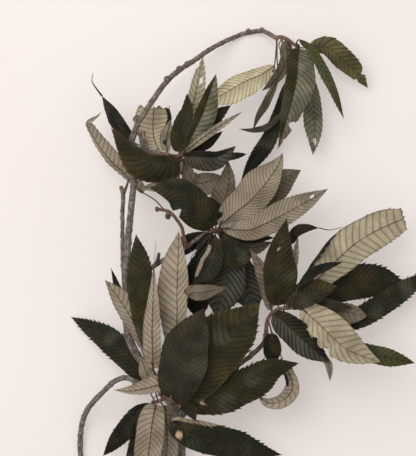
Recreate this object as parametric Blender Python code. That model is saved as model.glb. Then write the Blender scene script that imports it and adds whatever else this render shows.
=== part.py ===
"""A preserved sweet chestnut branch, cut and laid on a table: the old wood, and the leafy shoots on it.

A place is (x, y, level). x and y are squares of a sheet with squares of SQUARE millimetres, x from its left
edge and y down from its top edge, as the branch shows from straight above at EYE_HEIGHT. The level is its
height above the table in steps of STEP millimetres. Radii are in millimetres.
"""

import math
from typing import NamedTuple

import bmesh
import bpy
from mathutils import Vector

MM = 0.001
SQUARE = 1.5  # mm, the side of one square of the sheet
STEP = 1.4  # mm, from one level to the next
SHEET_MIDDLE = (208, 228)  # squares, the point straight below the eye
SHEET_HEIGHT = 84.0  # mm above the table, where the squares are true
EYE_HEIGHT = 1984.0  # mm above the table
ORIGIN = (68.2, -82.5)  # mm from the sheet's middle to the middle of the branch's box, x right and y up

BLADE_THICKNESS = 0.8
RIB_DEPTH = 1.0  # how far the midrib stands out of the underside at the leaf's base
RIB_ON_UPPER_SIDE = 0.3  # how far it stands out of the upper side, as a share of that
RIB_HALF_WIDTH = 1.1
STALK_ROOT_RADIUS = 1.35
STALK_TIP_RADIUS = 1.05
TOOTH_PITCH = 23.0
TOOTH_DEPTH = 2.4
TOOTH_OUT = 0.6  # the share of the depth that a tooth's point stands out
TOOTH_IN = -0.4  # and that the notch between two teeth is cut in
TOOTH_LEAN = 0.3  # how far a tooth points on towards the tip, as a share of the pitch
TIP_HALF_WIDTH = 0.45
BASE_ROUNDNESS = 0.62  # the power of the outline's sine at the leaf's base: less is rounder
TIP_TAPER = 0.5  # and how much more it is at the tip
WAVES = 2.5  # waves of the margin along one side of a blade
WAVE_HEIGHT = 1.2  # levels, how far they rise and fall at the widest place
FEWEST_TEETH = 3
TABLE_CLEARANCE = 0.5  # the least height of a blade's middle layer above the table
NEARBY = 0.02  # the share of a midrib over which its direction is read
STALK_PITCH = 20.0  # between the rings of a stalk
WOOD_PITCH = 22.0  # and of a stem
SEAT_GAP = 0.3  # between a leafy shoot and the old wood that carries it
REACH_INTO_BLADE = 0.15  # how far the stalk runs in, as a share of the way to the midrib's second point

JOIN_SOLVER = "MANIFOLD"
CURVE_STEPS = 12  # straight steps from one point of a route to the next
WELD_DISTANCE = 1e-6  # metres, between points that are one
TWIG_ROOT_RADIUS = 3.0
TWIG_TIP_RADIUS = 2.3
WOOD_SIDES = 2  # the curve's bevel resolution, for 8 sides
STALK_SIDES = 0  # for 4 sides

UPPER_SIDE = (0.060, 0.066, 0.022, 1.0)  # a leaf's dark upper side
BARK = (0.15, 0.115, 0.085, 1.0)
LEAF_ROUGHNESS = 0.6
BARK_ROUGHNESS = 0.8


class Rod(NamedTuple):
    """A length of wood: its route, and its radius at its root and at its tip."""

    route: list
    root: float
    tip: float


class Knot(NamedTuple):
    """A bud or an old scar: its place, its radius and how much longer than wide it is."""

    place: tuple
    radius: float
    stretch: float = 1.0


class Leaf(NamedTuple):
    """A leaf: its stalk's route from the twig, its midrib's route from base to tip, and its two halves.

    left and right are (reach, lift) at the widest place, looking from base to tip from above: how many
    squares the half reaches out sideways, and how many levels higher its margin is than the midrib.
    pale says that the underside is seen from above. belly is where the blade is widest, as a share of its
    length, and kept is the share of the full outline that is left where the tip is torn off.
    """

    stalk: list
    midrib: list
    left: tuple
    right: tuple
    pale: bool = False
    belly: float = 0.45
    kept: float = 1.0


OLD_WOOD = [
    # The main stem, from the sawn base that lies on the table, over the arch and down to its tip.
    Rod([(183, 533, 3.2), (182, 496, 3.2), (181.5, 462, 18), (181, 434, 33), (177.5, 410, 46), (165, 393, 54),
         (150, 371, 58), (137, 355, 60), (128, 335, 60), (126, 300, 60), (127, 262, 60), (129, 230, 60),
         (132, 200, 62), (134, 175, 64), (131, 148, 66), (137, 125, 66), (144, 114, 63), (153, 100, 57),
         (167, 81, 46), (181, 69, 37), (192, 62, 30), (210, 49.5, 19), (230, 39, 7), (247, 33, 1.5),
         (262, 31, 8), (270, 34.5, 15), (277, 39, 21)], 7.0, 3.3),
    # A thinner stem that rises beside it and ends in an old cut, and the spur at its top.
    Rod([(137, 352, 58), (129, 333, 52), (125, 300, 48), (123, 262, 46), (122.5, 235, 46), (122.5, 212, 50),
         (123, 197, 55), (121, 186, 58)], 3.6, 3.1),
    Rod([(123, 196, 55), (126, 188, 55), (129, 179, 55)], 2.4, 2.0),
    # The twig that curves down on the left and lies on the table.
    Rod([(160, 387, 54), (148, 386, 50), (140, 385, 46), (128, 378, 42), (115, 381, 36), (102, 393, 28),
         (90, 406, 20), (83, 420, 12), (80, 442, 6), (82, 468, 2.7), (84, 492, 2.7)], 4.2, 4.2),
    # The branches that carry the upper, middle and right shoots, and the stub of a cut one.
    Rod([(131, 149, 65), (140, 151, 68), (150, 152, 69), (160, 153, 69)], 4.4, 3.6),
    Rod([(145, 151, 68), (143, 141, 68), (141, 131, 68)], 5.2, 5.8),
    Rod([(127, 288, 60), (138, 277, 53), (157, 264, 47), (172, 255, 45), (187, 247, 46), (197, 239, 48),
         (206, 234, 52)], 3.9, 3.0),
    Rod([(157, 264, 47), (158, 258, 50), (159, 253, 53)], 3.0, 2.6),
    Rod([(177, 412, 46), (190, 400, 44), (210, 386, 43), (237, 366, 45), (252, 355, 47), (263, 344, 50),
         (266, 336, 52), (266, 329, 54)], 4.2, 3.4),
    Rod([(237, 366, 45), (234, 361, 50), (233, 358, 53)], 3.2, 2.9),
]

OLD_SCARS = [
    Knot((136, 119, 66), 5.0), Knot((187, 64, 37), 4.6), Knot((179, 69, 41), 4.8),
    Knot((167, 79, 49), 5.0), Knot((248, 31, 6.5), 4.0), Knot((262, 29.5, 10), 3.8),
    Knot((125, 288, 50), 4.4), Knot((135, 386, 46), 5.0), Knot((182, 414, 46), 7.0),
    Knot((172, 402, 51), 6.5), Knot((129, 230, 62), 5.6), Knot((181, 470, 16), 6.2),
    Knot((127, 335, 61), 6.0), Knot((252, 354, 48), 4.6), Knot((266, 335, 52), 4.6),
    Knot((183, 505, 6), 6.0),
]

TABLE_SIDE = 2.0  # metres, of the slab that stands for the table where the wood is cut flat
TABLE_DEPTH = 20.0

TOP_TWIG = [(275, 37.5, 19.5), (282, 37, 24), (290, 41, 27), (297, 47, 28)]
TOP_LEAVES = {
    "b1": Leaf([(277, 39, 22), (276, 52, 28)],
        [(274, 70, 32), (260, 75, 38), (246, 81, 42), (230, 90, 47), (205, 105, 50)],
        (15, -6), (10, 4), True, 0.54),
    "b2": Leaf([(281, 38, 23), (284, 47, 20)],
        [(285, 56, 17), (283, 68, 14), (275, 80, 11), (262, 91, 9)],
        (5, 2), (6, -1), True),
    "b3": Leaf([(285, 39, 25)],
        [(286, 44, 27), (287, 54, 29), (286, 67, 28)],
        (7, -2), (7, 2), True),
    "b4": Leaf([(293, 44, 28), (299, 45, 32)],
        [(299, 52, 38), (298, 66, 50), (297, 80, 56), (293, 98, 57), (287, 120, 52), (278, 149, 42)],
        (18, -7), (12, 4), False, 0.32),
    "b5": Leaf([(296, 46, 26)],
        [(302, 56, 22), (310, 82, 21), (314, 110, 22), (315, 135, 22), (313, 155, 20)],
        (8, 0), (12, 3), False, 0.6),
    "b6": Leaf([(296, 45, 28), (298, 40, 31)],
        [(303, 41, 36), (311, 49, 40), (322, 67, 42), (333, 90, 40), (344, 119, 34)],
        (5, -2), (6, 2), False),
    "b7": Leaf([(297, 47, 27), (305, 48, 26)],
        [(314, 46, 27), (328, 48, 28), (342, 60, 26), (356, 73, 20), (368, 88, 10)],
        (12, 3), (9, -4), False),
    "b8": Leaf([(277, 39, 21), (277, 58, 24), (278, 72, 25)],
        [(276, 86, 28), (266, 103, 36), (258, 117, 38), (253, 130, 36)],
        (4, 2), (4, -2), True),
    "b9": Leaf([(288, 40, 26), (291, 70, 36), (287, 98, 38)],
        [(281, 117, 36), (268, 126, 34), (253, 130, 29), (239, 129, 24)],
        (3.5, 1), (3, -1), True),
    "b11": Leaf([(286, 39, 22), (289, 62, 13)],
        [(284, 88, 14), (278, 112, 16), (270, 136, 18), (256, 158, 22), (241, 181, 24)],
        (9, 2), (8, -2), False, 0.62),
}

UPPER_TWIG = [(156, 152.6, 69), (165, 154, 70), (174, 156, 70), (182, 155, 69)]
UPPER_LEAVES = {
    "a1": Leaf([(163, 154, 64), (153, 152, 57), (139, 145, 53)],
        [(128, 140, 54), (118, 123, 50), (108, 106, 46), (99, 90, 42), (92, 81, 40), (93, 73, 40)],
        (8, -10), (6, -6), False, 0.4),
    "a3": Leaf([(178, 157, 71), (180, 160, 74)],
        [(177, 161, 78), (160, 164, 84), (142, 159, 87), (126, 144, 88), (111, 128, 86)],
        (20, -8), (9, 2), False, 0.32),
    "a4": Leaf([(162, 154, 67)],
        [(157, 151, 62), (154, 138, 52), (153, 124, 47), (154, 108, 45)],
        (18, -3), (18, 2), True, 0.5, 0.66),
    "a5": Leaf([(168, 154, 67)],
        [(167, 149, 64), (166, 140, 60), (168, 130, 58), (171, 119, 57)],
        (6, 2), (5, -2), True),
    "a6": Leaf([(179, 155, 70)],
        [(180, 148, 73), (181, 138, 78), (184, 124, 82), (188, 110, 83), (187, 93, 81)],
        (11, -3), (8, 4), False, 0.38),
    "a7": Leaf([(180, 156, 67)],
        [(182, 163, 62), (173, 177, 58), (163, 185, 56), (150, 187, 53), (136, 189, 50)],
        (6, -3), (5, 2), True),
    "a8": Leaf([(182, 156, 67)],
        [(184, 163, 62), (188, 171, 56), (194, 183, 51)],
        (6, 1), (8, -2), True),
    "a9": Leaf([(181, 157, 66), (180, 168, 54)],
        [(186, 177, 48), (197, 183, 43), (208, 181, 42), (224, 177, 41)],
        (10, 1), (14, -2), True, 0.5),
    "a11": Leaf([(180, 155, 67)],
        [(183, 146, 65), (188, 124, 66), (194, 100, 69), (198, 80, 72), (203, 57, 74)],
        (7, 2), (9, -2), True, 0.6),
    "a12": Leaf([(182, 155, 71)],
        [(187, 146, 77), (194, 132, 86), (202, 115, 93), (208, 98, 96), (216, 74, 95)],
        (7, 4), (13, -5), False, 0.5),
    "a14": Leaf([(182, 155, 69)],
        [(191, 145, 71), (201, 132, 75), (214, 119, 78), (231, 105, 79)],
        (9, -2), (7, 1), False, 0.55),
    "a15": Leaf([(182, 155, 71)],
        [(188, 149, 78), (201, 139, 87), (218, 127, 92), (242, 112, 93)],
        (3.5, 2), (4, -2), True),
    "a16": Leaf([(182, 155, 68)],
        [(191, 150, 70), (206, 142, 70), (223, 131, 69)],
        (4, 0), (7, -2), False),
    "a17": Leaf([(182, 156, 70)],
        [(187, 157, 74), (204, 157, 83), (219, 156, 87), (236, 146, 86)],
        (6, 4), (13, -6), False, 0.42),
    "a18": Leaf([(182, 155, 69)],
        [(192, 158, 66), (218, 158, 68), (247, 154, 70)],
        (4, 0), (4, 0), False, 0.7),
}

SIDE_TWIG = [(187, 247, 47), (184, 239, 56), (182, 228, 64), (177, 220, 68), (170, 212, 69), (163, 210, 69),
             (157, 209, 68)]
SIDE_LEAVES = {
    "a2": Leaf([(164, 210, 68), (156, 201, 52), (147, 195, 44)],
        [(139, 191, 42), (127, 176, 42), (110, 160, 44), (99, 146, 47), (90, 131, 51), (88, 115, 56)],
        (4, -14), (11, 5), True, 0.5),
}

MIDDLE_TWIG = [(203, 235.5, 50), (209, 232, 55), (214, 230, 58), (219, 229, 60)]
MIDDLE_LEAVES = {
    "a10": Leaf([(215, 230, 58)],
        [(218, 216, 58), (225, 199, 60), (229, 180, 62), (228, 160, 61)],
        (14, -2), (8, 2), True, 0.4),
    "c1": Leaf([(214, 230, 61)],
        [(211, 225, 68), (199, 211, 80), (188, 200, 86), (174, 190, 88), (150, 188, 84)],
        (19, -5), (16, 3), False, 0.44),
    "c1b": Leaf([(216, 229, 60)],
        [(216, 221, 64), (213, 210, 69), (203, 195, 71)],
        (6, 1), (6, -1), False),
    "c2": Leaf([(218, 229, 61)],
        [(221, 222, 65), (236, 212, 70), (251, 200, 72), (265, 184, 72), (277, 167, 68), (283, 153, 64)],
        (20, 4), (15, -3), True, 0.48),
    "c3": Leaf([(218, 229, 58)],
        [(229, 221, 55), (247, 204, 53), (268, 187, 52), (285, 177, 52), (301, 170, 50)],
        (9, 2), (18, -3), True, 0.6),
    "c4": Leaf([(219, 229, 61)],
        [(226, 228, 70), (248, 230, 80), (264, 224, 84), (282, 215, 85), (302, 204, 84), (328, 189, 80)],
        (14, 2), (12, -3), True, 0.5),
    "c5": Leaf([(216, 231, 57)],
        [(222, 234, 54), (232, 233, 51), (242, 229, 50), (252, 221, 49)],
        (11, 1), (11, -1), True),
    "c6": Leaf([(215, 232, 56)],
        [(226, 238, 47), (242, 246, 43), (256, 247, 42), (272, 242, 42)],
        (7, 1), (8, -1), True),
    "c7": Leaf([(218, 230, 59)],
        [(230, 233, 62), (246, 236, 64), (260, 237, 64), (274, 238, 62)],
        (4, 1), (5, -1), False),
    "c8": Leaf([(211, 232, 54)],
        [(205, 234, 48), (192, 238, 42), (178, 246, 38), (162, 262, 36)],
        (13, -1), (9, 1), False, 0.6),
    "c9": Leaf([(213, 231, 57)],
        [(211, 238, 57), (207, 249, 58), (202, 263, 57)],
        (10, 0), (10, 0), False),
    "c10": Leaf([(215, 231, 59)],
        [(216, 241, 65), (214, 255, 70), (207, 270, 73), (193, 284, 72)],
        (9, 2), (8, -2), False, 0.55),
    "c11": Leaf([(213, 232, 56), (206, 255, 50), (196, 280, 60)],
        [(187, 300, 80), (192, 293, 82), (203, 292, 84), (214, 290, 87), (227, 288, 88)],
        (8, 2), (5, -2), True, 0.35),
    "c12": Leaf([(217, 231, 58)],
        [(222, 243, 56), (230, 257, 55), (228, 275, 55), (223, 292, 54), (217, 313, 53)],
        (18, 3), (17, -2), False, 0.58),
    "c13": Leaf([(218, 231, 57)],
        [(229, 247, 49), (238, 264, 46), (247, 286, 44), (256, 311, 41)],
        (14, 0), (14, 0), False, 0.6),
    "c14": Leaf([(218, 230, 60)],
        [(221, 243, 63), (229, 254, 66), (240, 257, 67), (254, 254, 66)],
        (13, 1), (12, -1), False),
    "c15": Leaf([(213, 231, 55)],
        [(210, 241, 50), (204, 258, 46), (198, 278, 43), (196, 298, 41), (200, 318, 39)],
        (15, 0), (12, 0), False, 0.6),
}

RIGHT_TWIG = [(266.3, 331, 53), (267, 322, 57), (271, 314, 61), (279, 309, 64), (290, 308, 65),
              (300, 308, 65)]
RIGHT_LEAVES = {
    "d1": Leaf([(272, 313, 62)],
        [(270, 306, 64), (268, 286, 68), (261, 266, 72), (250, 248, 74)],
        (9, -2), (5, 2), True),
    "d2": Leaf([(278, 309, 65)],
        [(279, 302, 72), (276, 284, 84), (275, 266, 89), (278, 245, 92), (287, 218, 93)],
        (11, 2), (18, -5), False, 0.42),
    "d3": Leaf([(284, 309, 63), (289, 280, 62), (290, 255, 66)],
        [(292, 239, 70), (300, 231, 71), (313, 227, 70), (330, 230, 68), (343, 227, 66)],
        (4, 0), (4, 0), False, 0.3),
    "d4": Leaf([(286, 308, 66)],
        [(288, 297, 70), (291, 275, 75), (295, 255, 77), (298, 236, 77)],
        (5, 1), (5, -1), True),
    "d5": Leaf([(300, 308, 65)],
        [(305, 299, 64), (318, 279, 66), (335, 262, 67), (356, 243, 64), (380, 229, 57), (403, 219, 48)],
        (17, 4), (19, -4), True, 0.5, 0.82),
    "d7": Leaf([(292, 308, 67), (294, 298, 76)],
        [(298, 286, 82), (311, 273, 86), (326, 266, 88), (343, 262, 88)],
        (4, 1), (6, -2), False),
    "d8": Leaf([(287, 308, 66)],
        [(290, 304, 70), (303, 297, 74), (318, 291, 76), (337, 286, 76)],
        (12, 1), (10, -1), False),
    "d9": Leaf([(300, 308, 64)],
        [(311, 303, 58), (330, 293, 50), (350, 286, 43), (370, 284, 36), (390, 285, 28), (411, 288, 20)],
        (23, 3), (15, -2), False, 0.45),
    "d10": Leaf([(300, 309, 63), (318, 322, 56)],
        [(334, 332, 53), (356, 321, 51), (380, 307, 46), (404, 292, 33), (432, 270, 0)],
        (13, -2), (10, 1), False, 0.45),
    "d11": Leaf([(300, 308, 64)],
        [(308, 311, 62), (326, 311, 61), (346, 312, 61), (367, 316, 60)],
        (9, 1), (12, -1), True, 0.7),
    "d12": Leaf([(300, 308, 65)],
        [(307, 305, 68), (322, 304, 69), (338, 305, 69), (353, 308, 67)],
        (5, 1), (8, -1), False),
    "d13": Leaf([(300, 308, 66)],
        [(305, 311, 73), (317, 322, 83), (330, 335, 89), (345, 348, 90), (362, 356, 86), (381, 362, 80)],
        (20, 1), (15, -3), True, 0.42),
    "d14": Leaf([(272, 313, 62)],
        [(276, 316, 68), (288, 326, 76), (302, 339, 79), (315, 351, 77), (330, 363, 72)],
        (10, -2), (14, 1), False, 0.45),
    "d15": Leaf([(274, 313, 61), (292, 330, 66), (312, 347, 66)],
        [(325, 354, 65), (329, 366, 62), (330, 381, 56)],
        (3.5, 0), (3.5, 0), True),
    "d16": Leaf([(300, 309, 63), (316, 324, 64)],
        [(338, 341, 63), (358, 350, 63), (382, 357, 60), (415, 363, 52)],
        (10, 1), (9, -1), False, 0.55),
    "d17": Leaf([(268, 321, 56), (271, 330, 60)],
        [(272, 338, 62), (272, 350, 62), (274, 365, 58)],
        (8, 0), (8, 0), False),
    "d18": Leaf([(268, 320, 56), (273, 335, 54), (280, 353, 52)],
        [(284, 365, 51), (291, 378, 50), (292, 390, 50), (282, 401, 51), (268, 403, 52), (257, 395, 54)],
        (7, 4), (7, -4), True, 0.5),
}

FRONT_TWIG = [(176.5, 408, 49), (178, 406, 57), (180, 405, 64)]
FRONT_LEAVES = {
    "e3": Leaf([(178, 405, 60), (174, 385, 64), (174, 362, 64)],
        [(176, 345, 64), (177, 320, 68), (177, 290, 71), (178, 262, 72), (179, 231, 70)],
        (20, -4), (11, 3), True, 0.5),
    "e12": Leaf([(180, 405, 65)],
        [(181, 402, 72), (181, 388, 86), (184, 370, 94), (188, 352, 97), (195, 331, 97), (204, 308, 92)],
        (24, -6), (20, -5), False, 0.42),
    "e13": Leaf([(181, 405, 63)],
        [(187, 400, 66), (200, 378, 75), (216, 352, 80), (236, 331, 81), (260, 303, 79)],
        (29, -3), (24, -3), False, 0.55),
    "e14": Leaf([(180, 406, 61)],
        [(190, 405, 60), (208, 396, 62), (229, 388, 65), (250, 380, 66), (272, 368, 66), (299, 363, 64)],
        (16, 2), (21, -5), False, 0.42),
    "e15": Leaf([(179, 406, 59), (172, 414, 60)],
        [(169, 426, 58), (186, 433, 58), (207, 440, 56), (231, 446, 51), (256, 451, 44), (282, 455, 36)],
        (18, 3), (14, -3), False, 0.4),
    "e16": Leaf([(180, 405, 62)],
        [(184, 404, 66), (190, 410, 70), (196, 421, 72)],
        (6, 0), (6, 0), False),
}

LEFT_TWIG = [(166.5, 396, 55), (165, 397, 62), (163, 396, 68)]
LEFT_LEAVES = {
    "e2": Leaf([(163, 396, 67), (155, 378, 67), (149, 362, 67)],
        [(143, 346, 67), (134, 324, 68), (121, 302, 70), (105, 280, 70)],
        (8, -2), (11, 2), True, 0.6),
    "e4": Leaf([(163, 396, 68), (156, 378, 71), (150, 362, 73)],
        [(145, 346, 75), (142, 316, 77), (140, 285, 79), (139, 260, 80), (136, 234, 78)],
        (13, -2), (14, 2), False, 0.55),
    "e5": Leaf([(163, 396, 69), (157, 380, 76)],
        [(152, 364, 80), (152, 335, 86), (153, 300, 88), (154, 264, 86)],
        (7, 1), (6, -1), True),
    "e7": Leaf([(162, 396, 68), (156, 390, 71)],
        [(150, 384, 73), (146, 372, 75), (141, 357, 74)],
        (7, 0), (7, 0), True),
    "e8": Leaf([(164, 396, 69), (170, 391, 72)],
        [(173, 384, 75), (160, 385, 78), (143, 389, 81), (129, 391, 81), (114, 390, 77)],
        (6, -1), (10, 1), True, 0.3),
}

BACK_TWIG = [(167, 397, 51), (160, 401, 45), (153, 403, 40)]
BACK_LEAVES = {
    "e1": Leaf([(155, 402, 40), (151, 394, 37)],
        [(148, 384, 36), (131, 359, 33), (112, 341, 27), (92, 328, 15), (71, 317, 0)],
        (15, -2), (15, 1), False, 0.45),
    "e6": Leaf([(158, 401, 43), (152, 380, 42), (144, 356, 42)],
        [(134, 332, 42), (124, 306, 41), (111, 268, 39)],
        (5, 0), (5, 0), False),
    "e9a": Leaf([(156, 402, 46)],
        [(155, 408, 52), (152, 424, 56), (150, 442, 55), (147, 463, 50), (143, 485, 42), (139, 508, 31)],
        (9, -2), (14, 2), True, 0.42),
    "e9b": Leaf([(160, 401, 44)],
        [(166, 409, 42), (167, 426, 41), (167, 446, 38), (165, 468, 33), (163, 490, 26), (161, 513, 18)],
        (10, -1), (10, 1), True, 0.42),
    "e10": Leaf([(153, 403, 40)],
        [(147, 406, 38), (137, 412, 36), (124, 428, 32), (103, 456, 22)],
        (12, -1), (8, 1), False, 0.5),
    "e11": Leaf([(154, 403, 38)],
        [(148, 413, 30), (139, 436, 24), (132, 462, 18), (127, 492, 8)],
        (8, 0), (8, 0), False),
}

SIDE_BUD = Knot((168, 216, 71), 3.4, 1.5)


def place(spot):
    """The point, in metres, of a place on the squared sheet. A higher point is nearer the sheet's middle."""
    x, y, level = spot
    height = level * STEP
    share = (EYE_HEIGHT - height) / (EYE_HEIGHT - SHEET_HEIGHT)
    right = (x - SHEET_MIDDLE[0]) * SQUARE * share - ORIGIN[0]
    up = (SHEET_MIDDLE[1] - y) * SQUARE * share - ORIGIN[1]
    return Vector((right, up, height)) * MM


def route(spots):
    """The points of a list of places."""
    return [place(spot) for spot in spots]


def smooth(points):
    """A fine polyline on the Catmull-Rom curve through the points."""
    if len(points) == 2:
        return [points[0].lerp(points[1], i / CURVE_STEPS) for i in range(CURVE_STEPS + 1)]
    padded = [2 * points[0] - points[1], *points, 2 * points[-1] - points[-2]]
    line = []
    for before, start, end, after in zip(padded, padded[1:], padded[2:], padded[3:]):
        for i in range(CURVE_STEPS):
            t = i / CURVE_STEPS
            line.append(0.5 * (2 * start + (end - before) * t
                               + (2 * before - 5 * start + 4 * end - after) * t**2
                               + (3 * start - before - 3 * end + after) * t**3))
    return [*line, points[-1].copy()]


def length_of(line):
    return sum((b - a).length for a, b in zip(line, line[1:]))


def along(line, share):
    """The point at that share of a polyline's length."""
    left = share * length_of(line)
    for a, b in zip(line, line[1:]):
        step = (b - a).length
        if left <= step and step > 0:
            return a.lerp(b, left / step)
        left -= step
    return line[-1].copy()


def linked(name, mesh, collection):
    obj = bpy.data.objects.new(name, mesh)
    collection.objects.link(obj)
    return obj


def rod(name, points, root, tip, sides, pitch, collection, extra=0.0):
    """A tapering rod on the smooth curve through the points. extra is added all round and at its ends."""
    line = smooth(points)
    if extra:
        before = line[0] + (line[0] - line[1]).normalized() * extra * MM
        beyond = line[-1] + (line[-1] - line[-2]).normalized() * extra * MM
        line = [before, *line, beyond]
    rings = max(2, round(length_of(line) / (pitch * MM)))
    curve = bpy.data.curves.new(name, "CURVE")
    curve.dimensions = "3D"
    curve.bevel_depth = MM
    curve.bevel_resolution = sides
    curve.use_fill_caps = True
    spline = curve.splines.new("POLY")
    spline.points.add(rings)
    for i, point in enumerate(spline.points):
        share = i / rings
        point.co = (*along(line, share), 1.0)
        point.radius = root + (tip - root) * share + extra
    return meshed(linked(name, curve, collection), collection)


def meshed(curve_object, collection):
    """The curve's tube as a mesh object with its caps welded on. The curve is removed."""
    bpy.context.view_layer.update()
    graph = bpy.context.evaluated_depsgraph_get()
    mesh = bpy.data.meshes.new_from_object(curve_object.evaluated_get(graph))
    name = curve_object.name
    bpy.data.objects.remove(curve_object)
    work = bmesh.new()
    work.from_mesh(mesh)
    bmesh.ops.remove_doubles(work, verts=work.verts, dist=WELD_DISTANCE)
    bmesh.ops.recalc_face_normals(work, faces=work.faces)
    work.to_mesh(mesh)
    work.free()
    return linked(name, mesh, collection)


def knot(name, bump, collection, extra=0.0):
    """A small rounded lump."""
    mesh = bpy.data.meshes.new(name)
    work = bmesh.new()
    bmesh.ops.create_icosphere(work, subdivisions=1, radius=(bump.radius + extra) * MM)
    bmesh.ops.scale(work, vec=(1.0, bump.stretch, 1.0), verts=work.verts)
    work.to_mesh(mesh)
    work.free()
    obj = linked(name, mesh, collection)
    obj.location = place(bump.place)
    return obj


def outline(share, belly):
    """How far a blade reaches at that share of its length, against its widest place."""
    bent = share ** (math.log(0.5) / math.log(belly))
    return math.sin(math.pi * bent) ** (BASE_ROUNDNESS + TIP_TAPER * share)


def across(leaf, line, share, tooth):
    """The left margin, midrib, right margin and the three normals of a blade at a share of its length."""
    centre = along(line, share)
    ahead = (along(line, min(share + NEARBY, 1.0)) - along(line, max(share - NEARBY, 0.0))).normalized()
    sideways = Vector((-ahead.y, ahead.x, 0.0)).normalized()
    width = outline(share * leaf.kept, leaf.belly)
    least = (RIB_HALF_WIDTH + (TIP_HALF_WIDTH - RIB_HALF_WIDTH) * share) * MM
    halves = []
    for (reach, lift), side in ((leaf.left, 1), (leaf.right, -1)):
        ripple = side * WAVE_HEIGHT * math.sin(2 * math.pi * WAVES * share)
        edge = sideways * side * reach * SQUARE * width + Vector((0.0, 0.0, (lift + ripple) * STEP * width))
        edge += edge.normalized() * tooth * TOOTH_DEPTH * width
        edge = edge * MM
        if edge.length < least:
            edge = sideways * side * least
        halves.append(edge)
    lean = ahead * max(tooth, 0.0) * TOOTH_LEAN * TOOTH_PITCH * MM
    up_left = ahead.cross(halves[0]).normalized()
    up_right = halves[1].cross(ahead).normalized()
    up_middle = (up_left + up_right).normalized()
    spots = [centre + halves[0] + lean, centre, centre + halves[1] + lean]
    for spot in spots:
        spot.z = max(spot.z, TABLE_CLEARANCE * MM)
    return spots, [up_left, up_middle, up_right]


def blade(name, leaf, collection):
    """A leaf's blade: a thin folded sheet with a thick midrib and a margin of forward-pointing teeth."""
    line = smooth(route(leaf.midrib))
    teeth = max(FEWEST_TEETH, round(length_of(line) / (TOOTH_PITCH * MM)))
    rings = 2 * teeth
    work = bmesh.new()
    sections = []
    for i in range(rings + 1):
        share = i / rings
        spots, ups = across(leaf, line, share, TOOTH_OUT if i % 2 else TOOTH_IN)
        half = BLADE_THICKNESS / 2 * MM
        rib = RIB_DEPTH * (1.0 - share) * MM
        sunk = rib * RIB_ON_UPPER_SIDE
        above = [half, half + (rib if leaf.pale else sunk), half]
        below = [half, half + (sunk if leaf.pale else rib), half]
        if i == 0:
            above = [half, RIB_HALF_WIDTH * MM, half]
            below = [half, RIB_HALF_WIDTH * MM, half]
        top = [work.verts.new(s + u * a) for s, u, a in zip(spots, ups, above)]
        under = [work.verts.new(s - u * b) for s, u, b in zip(spots, ups, below)]
        sections.append(top + under[::-1])
    for near, far in zip(sections, sections[1:]):
        # The two faces are split along the same diagonals, so that a twisted blade keeps its thickness.
        for a, b in ((0, 1), (3, 4)):
            work.faces.new((near[a], near[b], far[b]))
            work.faces.new((near[a], far[b], far[a]))
        for a, b in ((1, 2), (4, 5)):
            work.faces.new((near[a], near[b], far[a]))
            work.faces.new((near[b], far[b], far[a]))
        for a, b in ((2, 3), (5, 0)):
            work.faces.new((near[a], near[b], far[b], far[a]))
    for ring in (sections[0], sections[-1]):
        work.faces.new((ring[0], ring[1], ring[4], ring[5]))
        work.faces.new((ring[1], ring[2], ring[3], ring[4]))
    bmesh.ops.triangulate(work, faces=[face for face in work.faces if len(face.verts) > 3])
    bmesh.ops.recalc_face_normals(work, faces=work.faces)
    mesh = bpy.data.meshes.new(name)
    work.to_mesh(mesh)
    work.free()
    return linked(name, mesh, collection)


def baked(name, obj, collection):
    """The object as its modifiers leave it, as a plain mesh object. The first one is removed."""
    bpy.context.view_layer.update()
    graph = bpy.context.evaluated_depsgraph_get()
    mesh = bpy.data.meshes.new_from_object(obj.evaluated_get(graph))
    bpy.data.objects.remove(obj)
    mesh.name = name
    return linked(name, mesh, collection)


def union(name, pieces, collection):
    """One solid from overlapping pieces. The pieces are removed."""
    helper = bpy.data.collections.new(name + "_pieces")
    bpy.context.scene.collection.children.link(helper)
    first, *others = pieces
    for piece in others:
        helper.objects.link(piece)
    join = first.modifiers.new("join", "BOOLEAN")
    join.operation = "UNION"
    join.operand_type = "COLLECTION"
    join.collection = helper
    join.solver = JOIN_SOLVER
    first.name = name + "_first"
    whole = baked(name, first, collection)
    for piece in others:
        bpy.data.objects.remove(piece)
    bpy.data.collections.remove(helper)
    return whole


def cut(obj, cutter, collection):
    """The object less the cutter, which stays."""
    name = obj.name
    obj.name = name + "_uncut"
    less = obj.modifiers.new("cut", "BOOLEAN")
    less.operation = "DIFFERENCE"
    less.object = cutter
    less.solver = JOIN_SOLVER
    return baked(name, obj, collection)


def keep_largest(obj):
    """Drops every loose scrap, so that the object is one body."""
    work = bmesh.new()
    work.from_mesh(obj.data)
    left = set(work.verts)
    bodies = []
    while left:
        body, edge = set(), [left.pop()]
        while edge:
            vert = edge.pop()
            body.add(vert)
            near = {link.other_vert(vert) for link in vert.link_edges} & left
            left -= near
            edge.extend(near)
        bodies.append(body)
    bodies.sort(key=len)
    bmesh.ops.delete(work, geom=[vert for body in bodies[:-1] for vert in body], context="VERTS")
    work.to_mesh(obj.data)
    work.free()


def table_cutter(collection):
    """A slab whose top is the table's surface."""
    mesh = bpy.data.meshes.new("table")
    work = bmesh.new()
    bmesh.ops.create_cube(work, size=1.0)
    bmesh.ops.scale(work, vec=(TABLE_SIDE, TABLE_SIDE, TABLE_DEPTH * MM), verts=work.verts)
    work.to_mesh(mesh)
    work.free()
    slab = linked("table", mesh, collection)
    slab.location.z = -TABLE_DEPTH / 2 * MM
    return slab


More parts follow.
